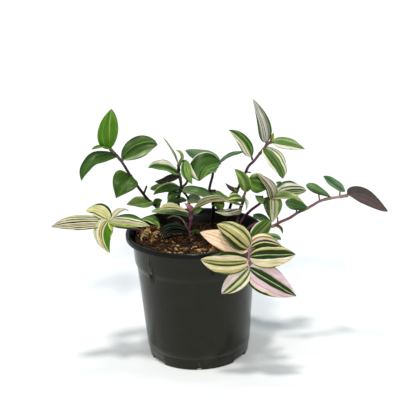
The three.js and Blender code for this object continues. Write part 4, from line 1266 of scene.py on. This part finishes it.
def build_stage(settings):
    """The pale floor, the even sky, the soft lamps and the camera."""
    surface = Surface()
    corners = [(x * FLOOR_REACH, y * FLOOR_REACH, -FLOOR_DROP)
               for x, y in ((-1, -1), (1, -1), (1, 1), (-1, 1))]
    surface.add_lump(corners, [(0, 1, 2, 3)], floor_finish(settings))
    floor = surface.to_piece("floor")
    scene = bpy.context.scene
    scene.view_settings.view_transform = "Standard"
    world = bpy.data.worlds.new("Even sky")
    scene.world = world
    world.use_nodes = True
    sky = world.node_tree.nodes["Background"]
    fill(world.node_tree, sky,
         {"Color": (*settings.sky, 1), "Strength": settings.sky_strength})
    for name, azimuth, height, share, colour, softness in LAMPS:
        lamp = bpy.data.lights.new(name, "SUN")
        lamp.energy = settings.lamp_strength * share
        lamp.color = colour
        lamp.angle = math.radians(softness)
        holder = bpy.data.objects.new(name, lamp)
        turn, rise = math.radians(azimuth), math.radians(height)
        toward = Vector((math.sin(turn) * math.cos(rise), math.cos(turn) * math.cos(rise),
                         math.sin(rise)))
        holder.rotation_euler = toward.to_track_quat("Z", "Y").to_euler()
        holder.location = toward
        scene.collection.objects.link(holder)
    camera = bpy.data.cameras.new("camera")
    camera.sensor_width = SENSOR_WIDTH
    camera.lens = CAMERA_FOCAL / FRAME_WIDTH * SENSOR_WIDTH
    camera.clip_end = 100
    eye = bpy.data.objects.new("camera", camera)
    turn = (Matrix.Rotation(math.radians(90 + CAMERA_PITCH), 4, "X")
            @ Matrix.Rotation(math.radians(CAMERA_ROLL), 4, "Z"))
    eye.matrix_world = Matrix.Translation(Vector(CAMERA_PLACE) * MM) @ turn
    scene.collection.objects.link(eye)
    scene.camera = eye


class MakeNurseryPot(bpy.types.Operator):
    """Builds the black nursery pot with its ribs and drains"""

    bl_idname = "plant.make_nursery_pot"
    bl_label = "Nursery Pot"

    def execute(self, context):
        build_pot(context.scene.nursery_pot)
        return {"FINISHED"}


class MakePottingMix(bpy.types.Operator):
    """Builds the potting mix with its chips, crumbs and fibres"""

    bl_idname = "plant.make_potting_mix"
    bl_label = "Potting Mix"

    def execute(self, context):
        build_soil(context.scene.potting_mix)
        return {"FINISHED"}


class MakeLeafyStems(bpy.types.Operator):
    """Builds the ten leafy stems"""

    bl_idname = "plant.make_leafy_stems"
    bl_label = "Leafy Stems"

    def execute(self, context):
        for number, stem in enumerate(STEMS, 1):
            build_leafy_stem(stem, number, context.scene.leafy_stems)
        return {"FINISHED"}


class MakeStage(bpy.types.Operator):
    """Builds the pale floor, the soft light and the camera"""

    bl_idname = "plant.make_stage"
    bl_label = "Stage"

    def execute(self, context):
        build_stage(context.scene.plant_stage)
        return {"FINISHED"}


# What can be built, in order: the name of its settings in the scene, their kind, its operator
PARTS = (
    ("nursery_pot", PotSettings, MakeNurseryPot),
    ("potting_mix", SoilSettings, MakePottingMix),
    ("leafy_stems", PlantSettings, MakeLeafyStems),
    ("plant_stage", StageSettings, MakeStage),
)


class PlantPanel(bpy.types.Panel):
    """Lists what can be built and the sizes and colours that go into it"""

    bl_idname = "VIEW3D_PT_potted_tradescantia"
    bl_label = "Potted Tradescantia"
    bl_space_type = "VIEW_3D"
    bl_region_type = "UI"
    bl_category = "Plant"

    def draw(self, context):
        for name, kind, operator in PARTS:
            box = self.layout.box()
            for setting in kind.__annotations__:
                box.prop(getattr(context.scene, name), setting)
            box.operator(operator.bl_idname)


def register():
    for name, kind, operator in PARTS:
        bpy.utils.register_class(kind)
        bpy.utils.register_class(operator)
        setattr(bpy.types.Scene, name, PointerProperty(type=kind))
    bpy.utils.register_class(PlantPanel)


def unregister():
    bpy.utils.unregister_class(PlantPanel)
    for name, kind, operator in reversed(PARTS):
        delattr(bpy.types.Scene, name)
        bpy.utils.unregister_class(operator)
        bpy.utils.unregister_class(kind)


def main():
    register()
    bpy.ops.plant.make_nursery_pot()
    bpy.ops.plant.make_potting_mix()
    bpy.ops.plant.make_leafy_stems()
    bpy.ops.plant.make_stage()


if __name__ == "__main__":
    main()
